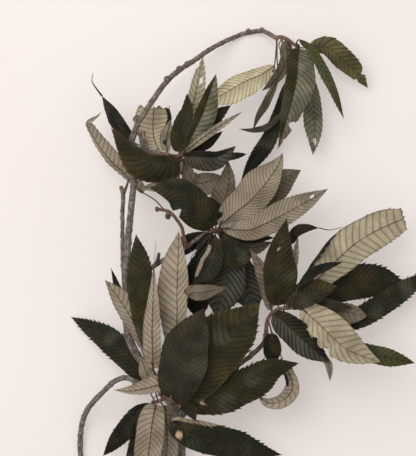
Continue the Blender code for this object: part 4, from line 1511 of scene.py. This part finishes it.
CUT_ENDS = (
    Cut((141, 131, 68), 6.4, FRESH_CUT_COLOUR),
    Cut((121, 186, 58), 4.6, WORN_CUT_COLOUR),
)

TOP_TWIG = ((275, 37.5, 19.5), (282, 37, 24), (290, 41, 27), (297, 47, 28))
TOP_LEAVES = {
    "b1": Leaf(((277, 39, 22), (276, 52, 28)),
        ((274, 70, 32), (260, 75, 38), (246, 81, 42), (230, 90, 47), (205, 105, 50)), (15, -6), (10, 4),
        Look.LIT_CREAM, rib=RUST_RIB, belly=0.54, pitch=7.6, teeth=0.3),
    "b2": Leaf(((281, 38, 23), (284, 47, 20)), ((285, 56, 17), (283, 68, 14), (275, 80, 11), (262, 91, 9)),
        (5, 2), (6, -1), Look.SHADED_TAUPE),
    "b3": Leaf(((285, 39, 25),), ((286, 44, 27), (287, 54, 29), (286, 67, 28)), (7, -2), (7, 2), Look.SHADED_TAUPE),
    "b4": Leaf(((293, 44, 28), (299, 45, 32)),
        ((299, 52, 38), (298, 66, 50), (297, 80, 56), (293, 98, 57), (287, 120, 52), (278, 149, 42)),
        (18, -7), (12, 4), Look.OLIVE, other=(Half.LEFT, Look.SHEEN_ASH),
        bites=(Bite(Half.LEFT, 0.75, 0.05, 0.85), Bite(Half.LEFT, 0.91, 0.02, 0.5)), belly=0.32),
    "b5": Leaf(((296, 46, 26),),
        ((302, 56, 22), (310, 82, 21), (314, 110, 22), (315, 135, 22), (313, 155, 20)), (8, 0), (12, 3),
        Look.SHEEN_ASH, holes=(Spot(0.86, -0.05, 3.2), Spot(0.88, 0.2, 2.4)), belly=0.6),
    "b6": Leaf(((296, 45, 28), (298, 40, 31)),
        ((303, 41, 36), (311, 49, 40), (322, 67, 42), (333, 90, 40), (344, 119, 34)), (5, -2), (6, 2),
        Look.GREEN),
    "b7": Leaf(((297, 47, 27), (305, 48, 26)),
        ((314, 46, 27), (328, 48, 28), (342, 60, 26), (356, 73, 20), (368, 88, 10)), (12, 3), (9, -4),
        Look.KHAKI, bites=(Bite(Half.LEFT, 0.79, 0.05, 0.6), Bite(Half.RIGHT, 0.8, 0.04, 0.4))),
    "b8": Leaf(((277, 39, 21), (277, 58, 24), (278, 72, 25)),
        ((276, 86, 28), (266, 103, 36), (258, 117, 38), (253, 130, 36)), (4, 2), (4, -2), Look.SHADED_UMBER),
    "b9": Leaf(((288, 40, 26), (291, 70, 36), (287, 98, 38)),
        ((281, 117, 36), (268, 126, 34), (253, 130, 29), (239, 129, 24)), (3.5, 1), (3, -1), Look.SHADED_UMBER),
    "b11": Leaf(((286, 39, 22), (289, 62, 13)),
        ((284, 88, 14), (278, 112, 16), (270, 136, 18), (256, 158, 22), (241, 181, 24)), (9, 2), (8, -2),
        Look.SHADED_DARK, belly=0.62),
}

UPPER_TWIG = ((156, 152.6, 69), (165, 154, 70), (174, 156, 70), (182, 155, 69))
UPPER_LEAVES = {
    "a1": Leaf(((163, 154, 64), (153, 152, 57), (139, 145, 53)),
        ((128, 140, 54), (118, 123, 50), (110, 109, 46), (102, 96, 43)), (8, -8), (7, -6), Look.SHADED_DARK,
        belly=0.42, thread=((96, 88, 42), (92, 81, 40), (93, 73, 40)), thread_radius=1.7),
    "a3": Leaf(((178, 157, 71), (180, 160, 74)),
        ((177, 161, 78), (160, 164, 84), (142, 159, 87), (126, 144, 88), (111, 128, 86)), (20, -8), (9, 2),
        Look.OLIVE, margin=RUST_MARGIN, belly=0.32),
    "a4": Leaf(((162, 154, 67),), ((157, 151, 62), (154, 138, 52), (153, 124, 47), (154, 108, 45)), (18, -3),
        (18, 2), Look.STRAW, folds=(Fold(Half.RIGHT, 0.1, 1.1, 5.0),), belly=0.5, kept=0.66),
    "a5": Leaf(((168, 154, 67),), ((167, 149, 64), (166, 140, 60), (168, 130, 58), (171, 119, 57)), (6, 2),
        (5, -2), Look.SHADED_SAND),
    "a6": Leaf(((179, 155, 70),),
        ((180, 148, 73), (181, 138, 78), (184, 124, 82), (188, 110, 83), (187, 93, 81)), (11, -3), (8, 4),
        Look.OLIVE, belly=0.38),
    "a7": Leaf(((180, 156, 67),),
        ((182, 163, 62), (173, 177, 58), (163, 185, 56), (150, 187, 53), (136, 189, 50)), (6, -3), (5, 2),
        Look.STRAW),
    "a8": Leaf(((182, 156, 67),), ((184, 163, 62), (188, 171, 56), (194, 183, 51)), (6, 1), (8, -2),
        Look.SHADED_SAND),
    "a9": Leaf(((181, 157, 66), (180, 168, 54)),
        ((186, 177, 48), (197, 183, 43), (208, 181, 42), (224, 177, 41)), (10, 1), (14, -2), Look.SHADED_SAND,
        belly=0.5),
    "a11": Leaf(((180, 155, 67),),
        ((183, 146, 65), (188, 124, 66), (194, 100, 69), (198, 80, 72), (203, 57, 74)), (7, 2), (9, -2),
        Look.STRAW, bites=(Bite(Half.LEFT, 0.9, 0.03, 0.5),), holes=(Spot(0.76, -0.42, 3.4),), belly=0.6),
    "a12": Leaf(((182, 155, 71),),
        ((187, 146, 77), (194, 132, 86), (202, 115, 93), (208, 98, 96), (216, 74, 95)), (7, 4), (13, -5),
        Look.OLIVE, other=(Half.RIGHT, Look.SHEEN_ASH), belly=0.5),
    "a14": Leaf(((182, 155, 69),), ((191, 145, 71), (201, 132, 75), (214, 119, 78), (231, 105, 79)), (9, -2),
        (7, 1), Look.SHADED_DARK, belly=0.55),
    "a15": Leaf(((182, 155, 71),), ((188, 149, 78), (201, 139, 87), (218, 127, 92), (242, 112, 93)), (3.5, 2),
        (4, -2), Look.SHADED_SAND),
    "a16": Leaf(((182, 155, 68),), ((191, 150, 70), (206, 142, 70), (223, 131, 69)), (4, 0), (7, -2),
        Look.SHADED_DARK),
    "a17": Leaf(((182, 156, 70),), ((187, 157, 74), (204, 157, 83), (219, 156, 87), (236, 146, 86)), (6, 4),
        (13, -6), Look.SHADED_DARK, other=(Half.RIGHT, Look.SHEEN_SLATE), belly=0.42),
    "a18": Leaf(((182, 155, 69),), ((192, 158, 66), (218, 158, 68), (247, 154, 70)), (4, 0), (4, 0),
        Look.SHADED_DARK, belly=0.7),
}

SIDE_TWIG = ((187, 247, 47), (184, 239, 56), (182, 228, 64), (177, 220, 68), (170, 212, 69), (163, 210, 69),
    (157, 209, 68))
SIDE_LEAVES = {
    "a2": Leaf(((164, 210, 68), (156, 201, 52), (147, 195, 44)),
        ((139, 191, 42), (127, 176, 42), (110, 160, 44), (99, 146, 47), (90, 131, 51), (87, 123, 55),
         (91, 119, 58), (97, 116, 58), (101, 112, 56)), (4, -14), (11, 5), Look.SHADED_SAND, margin=YELLOW_MARGIN,
        belly=0.4),
}

MIDDLE_TWIG = ((203, 235.5, 50), (209, 232, 55), (214, 230, 58), (219, 229, 60))
MIDDLE_LEAVES = {
    "a10": Leaf(((215, 230, 58),), ((218, 216, 58), (225, 199, 60), (229, 180, 62), (228, 160, 61)), (14, -2),
        (8, 2), Look.SHADED_TAUPE, belly=0.4),
    "c1": Leaf(((214, 230, 61),),
        ((211, 225, 68), (199, 211, 80), (188, 200, 86), (174, 190, 88), (150, 188, 84)), (19, -5), (16, 3),
        Look.DEEP, bites=(Bite(Half.LEFT, 0.5, 0.05, 0.45),), belly=0.44, teeth=0.2),
    "c1b": Leaf(((216, 229, 60),), ((216, 221, 64), (213, 210, 69), (203, 195, 71)), (8, 1), (9, -1),
        Look.SHADED_DARK),
    "c2": Leaf(((218, 229, 61),),
        ((221, 222, 65), (236, 212, 70), (251, 200, 72), (265, 184, 72), (277, 167, 68), (283, 153, 64)),
        (20, 4), (15, -3), Look.SHADED_SAND, belly=0.48, pitch=6.2, teeth=0.2),
    "c3": Leaf(((218, 229, 58),),
        ((229, 221, 55), (247, 204, 53), (268, 187, 52), (285, 177, 52), (301, 170, 50)), (12, 2), (19, -3),
        Look.SHADED_TAUPE, belly=0.6, pitch=7.0),
    "c4": Leaf(((219, 229, 61),),
        ((226, 228, 70), (248, 230, 80), (264, 224, 84), (282, 215, 85), (302, 204, 84), (328, 189, 80)),
        (14, 2), (12, -3), Look.SHADED_SAND, holes=(Spot(0.85, 0.2, 3.2),), belly=0.5, pitch=6.8),
    "c5": Leaf(((216, 231, 57),), ((222, 234, 54), (232, 233, 51), (242, 229, 50), (252, 221, 49)), (12, 1),
        (12, -1), Look.SHADED_TAUPE),
    "c6": Leaf(((215, 232, 56),), ((226, 238, 47), (242, 246, 43), (256, 247, 42), (272, 242, 42)), (8, 1),
        (10, -1), Look.SHADED_TAUPE),
    "c7": Leaf(((218, 230, 59),), ((230, 233, 62), (246, 236, 64), (260, 237, 64), (274, 238, 62)), (6, 1),
        (7, -1), Look.SHADED_DARK),
    "c8": Leaf(((211, 232, 54),), ((205, 234, 48), (192, 238, 42), (178, 246, 38), (167, 256, 37)), (13, -1),
        (6, 1), Look.SHADED_DARK, belly=0.56),
    "c9": Leaf(((213, 231, 57),), ((211, 238, 57), (207, 249, 58), (202, 263, 57)), (11, 0), (11, 0),
        Look.SHADED_DARK, teeth=0.2),
    "c10": Leaf(((215, 231, 59),), ((216, 241, 65), (214, 255, 70), (207, 270, 73), (193, 284, 72)), (11, 2),
        (10, -2), Look.DEEP, folds=(Fold(Half.RIGHT, 0.15, 0.9, 5.0),), belly=0.55),
    "c11": Leaf(((213, 232, 56), (206, 255, 50), (196, 280, 60)),
        ((187, 300, 80), (192, 293, 82), (203, 292, 84), (214, 290, 87), (227, 288, 88)), (8, 2), (8, -2),
        Look.SHADED_TAUPE, margin=RUST_MARGIN, belly=0.28),
    "c12": Leaf(((217, 231, 58),),
        ((222, 243, 56), (230, 257, 55), (228, 275, 55), (223, 292, 54), (216, 317, 53)), (20, 3), (20, -2),
        Look.SHEEN_SLATE, belly=0.6),
    "c13": Leaf(((218, 231, 57),), ((229, 247, 49), (238, 264, 46), (247, 286, 44), (256, 313, 41)), (16, 0),
        (18, 0), Look.SHEEN_SLATE, belly=0.6),
    "c14": Leaf(((218, 230, 60),), ((221, 243, 63), (229, 254, 66), (240, 257, 67), (254, 254, 66)), (13, 1),
        (12, -1), Look.DEEP),
    "c15": Leaf(((213, 231, 55),),
        ((210, 241, 50), (204, 258, 46), (198, 278, 43), (196, 298, 41), (200, 321, 39)), (18, 0), (15, 0),
        Look.SHADED_DARK, belly=0.6),
}

RIGHT_TWIG = ((266.3, 331, 53), (267, 322, 57), (271, 314, 61), (279, 309, 64), (290, 308, 65),
    (300, 308, 65))
RIGHT_LEAVES = {
    "d1": Leaf(((272, 313, 62),), ((270, 306, 64), (268, 286, 68), (261, 266, 72), (250, 248, 74)), (9, -2),
        (5, 2), Look.SHADED_TAUPE),
    "d2": Leaf(((278, 309, 65),),
        ((279, 302, 72), (276, 284, 84), (275, 266, 89), (278, 245, 92), (287, 218, 93)), (12, 2), (22, -5),
        Look.OLIVE, spots=(Spot(0.66, -0.1, 2.4),), belly=0.34, teeth=0.2),
    "d3": Leaf(((284, 309, 63), (289, 280, 62), (290, 255, 66)),
        ((291, 239, 70), (296, 232, 71), (306, 228, 71), (319, 228, 70)), (5, 0), (5, 0), Look.SHADED_DARK,
        belly=0.4, thread=((330, 230, 68), (343, 227, 66)), thread_radius=0.9),
    "d4": Leaf(((286, 308, 66),), ((288, 297, 70), (291, 275, 75), (295, 255, 77), (298, 236, 77)), (5, 1),
        (5, -1), Look.SHADED_SAND),
    "d5": Leaf(((300, 308, 65),),
        ((305, 299, 64), (318, 279, 66), (335, 262, 67), (356, 243, 64), (380, 229, 57), (403, 219, 48)),
        (20, 4), (19, -4), Look.STRAW, folds=(Fold(Half.LEFT, 0.08, 0.5, 3.0),), belly=0.5, kept=0.82,
        pitch=11.0, teeth=0.8),
    "d7": Leaf(((292, 308, 67), (294, 298, 76)),
        ((298, 286, 82), (311, 273, 86), (326, 266, 88), (343, 262, 88)), (4, 1), (6, -2), Look.SHADED_DARK),
    "d8": Leaf(((287, 308, 66),), ((290, 304, 70), (303, 297, 74), (318, 291, 76), (337, 286, 76)), (14, 1),
        (12, -1), Look.BROWN, teeth=0.2),
    "d9": Leaf(((300, 308, 64),),
        ((311, 303, 58), (330, 293, 50), (350, 286, 43), (370, 284, 36), (390, 285, 28), (411, 288, 20)),
        (23, 3), (15, -2), Look.DEEP, teeth=1.0),
    "d10": Leaf(((300, 309, 63), (318, 322, 56)),
        ((334, 332, 53), (356, 321, 51), (380, 307, 46), (404, 292, 33), (432, 270, 0)), (13, -2), (10, 1),
        Look.DEEP, teeth=1.0),
    "d11": Leaf(((300, 308, 64),), ((308, 311, 62), (326, 311, 61), (346, 312, 61), (367, 316, 60)), (9, 1),
        (12, -1), Look.SHADED_TAUPE, belly=0.7),
    "d12": Leaf(((300, 308, 65),), ((307, 305, 68), (322, 304, 69), (338, 305, 69), (353, 308, 67)), (5, 1),
        (8, -1), Look.BROWN),
    "d13": Leaf(((300, 308, 66),),
        ((305, 311, 73), (317, 322, 83), (330, 335, 89), (345, 348, 90), (362, 356, 86), (381, 362, 80)),
        (20, 1), (15, -3), Look.STRAW, rib=RUST_RIB, pitch=12.0,
        bites=(Bite(Half.RIGHT, 0.34, 0.05, 0.3), Bite(Half.RIGHT, 0.48, 0.05, 0.4)), belly=0.42),
    "d14": Leaf(((272, 313, 62),),
        ((276, 316, 68), (288, 326, 76), (302, 339, 79), (315, 351, 77), (330, 363, 72)), (14, -2), (15, 1),
        Look.SHEEN_SLATE, other=(Half.LEFT, Look.DEEP)),
    "d15": Leaf(((274, 313, 61), (292, 330, 66), (312, 347, 66)),
        ((325, 354, 65), (329, 366, 62), (330, 381, 56)), (3.5, 0), (3.5, 0), Look.SHADED_SAND),
    "d16": Leaf(((300, 309, 63), (316, 324, 64)),
        ((338, 341, 63), (358, 350, 63), (382, 357, 60), (415, 363, 52)), (10, 1), (9, -1), Look.GREEN,
        belly=0.55),
    "d17": Leaf(((268, 321, 56), (271, 330, 60)), ((272, 338, 62), (272, 350, 62), (274, 365, 58)), (10, 0),
        (9, 0), Look.SHADED_DARK),
    "d18": Leaf(((268, 320, 56), (273, 335, 54), (280, 353, 52)),
        ((284, 365, 51), (291, 378, 50), (292, 390, 50), (282, 401, 51), (268, 403, 52), (257, 395, 54)),
        (7, 4), (7, -4), Look.SHADED_SAND, folds=(Fold(Half.RIGHT, 0.05, 0.4, 3.5),), belly=0.5),
}

FRONT_TWIG = ((176.5, 408, 49), (178, 406, 57), (180, 405, 64))
FRONT_LEAVES = {
    "e3": Leaf(((178, 405, 60), (174, 385, 64), (174, 362, 64)),
        ((176, 345, 64), (177, 320, 68), (177, 290, 71), (178, 262, 72), (179, 231, 70)), (20, -4), (11, 3),
        Look.SHADED_SAND, belly=0.5, pitch=10.4, teeth=0.2),
    "e12": Leaf(((180, 405, 65),),
        ((181, 402, 72), (181, 388, 86), (184, 370, 94), (188, 352, 97), (195, 331, 97), (204, 308, 92)),
        (26, -6), (21, -5), Look.MOSS, belly=0.5),
    "e13": Leaf(((181, 405, 63),),
        ((187, 400, 66), (200, 378, 75), (216, 352, 80), (236, 331, 81), (260, 303, 79)), (32, -3), (26, -3),
        Look.OLIVE, margin=YELLOW_MARGIN, belly=0.52, teeth=0.9, pitch=10.0),
    "e14": Leaf(((180, 406, 61),),
        ((190, 405, 60), (208, 396, 62), (229, 388, 65), (250, 380, 66), (272, 368, 66), (299, 363, 64)),
        (16, 2), (23, -5), Look.OLIVE, spots=(Spot(0.13, -0.12, 4.0),), belly=0.42, teeth=1.0),
    "e15": Leaf(((179, 406, 59), (172, 414, 60)),
        ((169, 426, 58), (186, 433, 58), (207, 440, 56), (231, 446, 51), (256, 451, 44), (282, 455, 36)),
        (18, 3), (14, -3), Look.DEEP, folds=(Fold(Half.LEFT, -0.1, 0.4, 5.0),),
        spots=(Spot(0.12, -0.3, 5.4),), belly=0.4, teeth=1.0),
    "e16": Leaf(((180, 405, 62),), ((184, 404, 66), (190, 410, 70), (196, 421, 72)), (6, 0), (6, 0),
        Look.OLIVE),
}

LEFT_TWIG = ((166.5, 396, 55), (165, 397, 62), (163, 396, 68))
LEFT_LEAVES = {
    "e2": Leaf(((163, 396, 67), (155, 378, 67), (149, 362, 67)),
        ((143, 346, 67), (134, 324, 68), (121, 302, 70), (105, 280, 70)), (9, -2), (13, 2), Look.SHADED_SAND,
        margin=YELLOW_MARGIN, belly=0.52),
    "e4": Leaf(((163, 396, 68), (156, 378, 71), (150, 362, 73)),
        ((145, 346, 75), (142, 316, 77), (140, 285, 79), (139, 260, 80), (136, 234, 78)), (13, -2), (14, 2),
        Look.OLIVE, belly=0.55),
    "e5": Leaf(((163, 396, 69), (157, 380, 76)),
        ((152, 364, 80), (152, 335, 86), (153, 300, 88), (154, 264, 86)), (9, 1), (9, -1), Look.SHADED_SAND,
        belly=0.24, thread=((155, 253, 86), (156, 241, 84))),
    "e7": Leaf(((162, 396, 68), (156, 390, 71)), ((150, 384, 73), (146, 372, 75), (141, 357, 74)), (7, 0),
        (7, 0), Look.SHADED_SAND),
    "e8": Leaf(((164, 396, 69), (170, 391, 72)),
        ((173, 384, 75), (160, 385, 78), (143, 389, 81), (129, 391, 81), (114, 390, 77)), (6, -1), (10, 1),
        Look.SHADED_SAND, belly=0.3),
}

BACK_TWIG = ((167, 397, 51), (160, 401, 45), (153, 403, 40))
BACK_LEAVES = {
    "e1": Leaf(((155, 402, 40), (151, 394, 37)),
        ((148, 384, 36), (131, 359, 33), (112, 341, 27), (92, 328, 15), (71, 317, 0)), (15, -2), (12, 1),
        Look.DEEP, teeth=1.0),
    "e6": Leaf(((158, 401, 43), (152, 380, 42), (144, 356, 42)),
        ((134, 332, 42), (124, 306, 41), (111, 268, 39)), (5, 0), (5, 0), Look.SHADED_DARK),
    "e9a": Leaf(((156, 402, 46),),
        ((155, 408, 52), (152, 424, 56), (150, 442, 55), (147, 463, 50), (143, 485, 42), (139, 508, 31)),
        (13, -2), (15, 2), Look.SHADED_SAND, belly=0.28),
    "e9b": Leaf(((160, 401, 44),),
        ((166, 409, 42), (167, 426, 41), (167, 446, 38), (165, 468, 33), (163, 490, 26), (161, 513, 18)),
        (12, -1), (13, 1), Look.SHADED_SAND, belly=0.3),
    "e10": Leaf(((153, 403, 40),), ((147, 406, 38), (137, 412, 36), (124, 428, 32), (103, 456, 22)), (12, -1),
        (8, 1), Look.SHADED_DARK, belly=0.5),
    "e11": Leaf(((154, 403, 38),), ((148, 413, 30), (139, 436, 24), (132, 462, 18), (127, 492, 8)), (8, 0),
        (8, 0), Look.SHADED_DARK),
}

TOP_BARE = (
    ((287, 39, 26), (286, 43, 33), (289, 48, 36)),
    ((283, 38, 25), (279, 44, 31), (280, 50, 33)),
    ((292, 43, 28), (295, 46, 35), (297, 51, 37)),
)
MIDDLE_BARE = (
    ((213, 232, 57), (202, 243, 66), (194, 250, 68), (188, 251, 66)),
    ((213, 232, 57), (201, 247, 62), (192, 256, 64), (190, 266, 60)),
    ((213, 232, 57), (205, 249, 66), (198, 259, 66), (197, 270, 60)),
    ((217, 230, 61), (224, 231, 76), (233, 226, 84), (236, 220, 86)),
)
LEFT_BARE = (
    ((163, 396, 68), (168, 392, 76), (171, 397, 78), (168, 404, 76)),
    ((163, 397, 68), (166, 403, 75), (171, 406, 76)),
    ((164, 396, 68), (160, 401, 74), (164, 407, 76)),
    ((164, 396, 69), (170, 399, 78), (175, 403, 78)),
    ((163, 397, 68), (158, 395, 74), (153, 399, 74)),
    ((163, 397, 67), (160, 402, 70), (154, 404, 68)),
    ((165, 397, 68), (170, 396, 73), (176, 398, 73)),
)

SHOOTS = (
    LeafyShoot("top", TOP_TWIG, TOP_LEAVES, bare=TOP_BARE, bare_colour=BRACT_COLOUR, bare_radius=1.1,
               seed=100),
    LeafyShoot("upper", UPPER_TWIG, UPPER_LEAVES, seed=200),
    LeafyShoot("side", SIDE_TWIG, SIDE_LEAVES, (Knot((168, 216, 71), 4.4, 1.3),),
               (Cut((168, 216, 71), 5.6, BUD_COLOUR), Cut((157, 209, 68), 2.8, OLD_CUT_COLOUR)), seed=300),
    LeafyShoot("middle", MIDDLE_TWIG, MIDDLE_LEAVES, bare=MIDDLE_BARE, seed=400),
    LeafyShoot("right", RIGHT_TWIG, RIGHT_LEAVES, seed=500),
    LeafyShoot("front", FRONT_TWIG, FRONT_LEAVES, seed=600),
    LeafyShoot("left", LEFT_TWIG, LEFT_LEAVES, bare=LEFT_BARE, bare_colour=BRACT_COLOUR, bare_radius=1.3,
               seed=700),
    LeafyShoot("back", BACK_TWIG, BACK_LEAVES, seed=800),
)


def main() -> None:
    """Build the old wood, the leafy shoots and the studio, and report each piece."""
    logging.basicConfig(level=logging.INFO, format="%(name)s: %(message)s")
    leaf_materials = [finish.material() for finish in LEAF_FINISHES]
    old_wood = Wood("old_wood", OLD_WOOD, OLD_SCARS, voxel=1.0, relief=0.75, root_tint=linear(134, 125, 118),
                    tip_tint=linear(154, 132, 115), cuts=CUT_ENDS).build(OLD_BARK.material())
    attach(old_wood, "root")
    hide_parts("branch_wood")
    pieces = [old_wood]
    young_bark = YOUNG_BARK.material()
    for shoot in SHOOTS:
        pieces += shoot.build(leaf_materials, young_bark)
    Studio().build()
    for piece in pieces:
        LOG.info("%s: %d faces", piece.name, len(piece.data.polygons))
    LOG.info("%d pieces, %d faces in all", len(pieces), sum(len(piece.data.polygons) for piece in pieces))


if __name__ == "__main__":
    main()
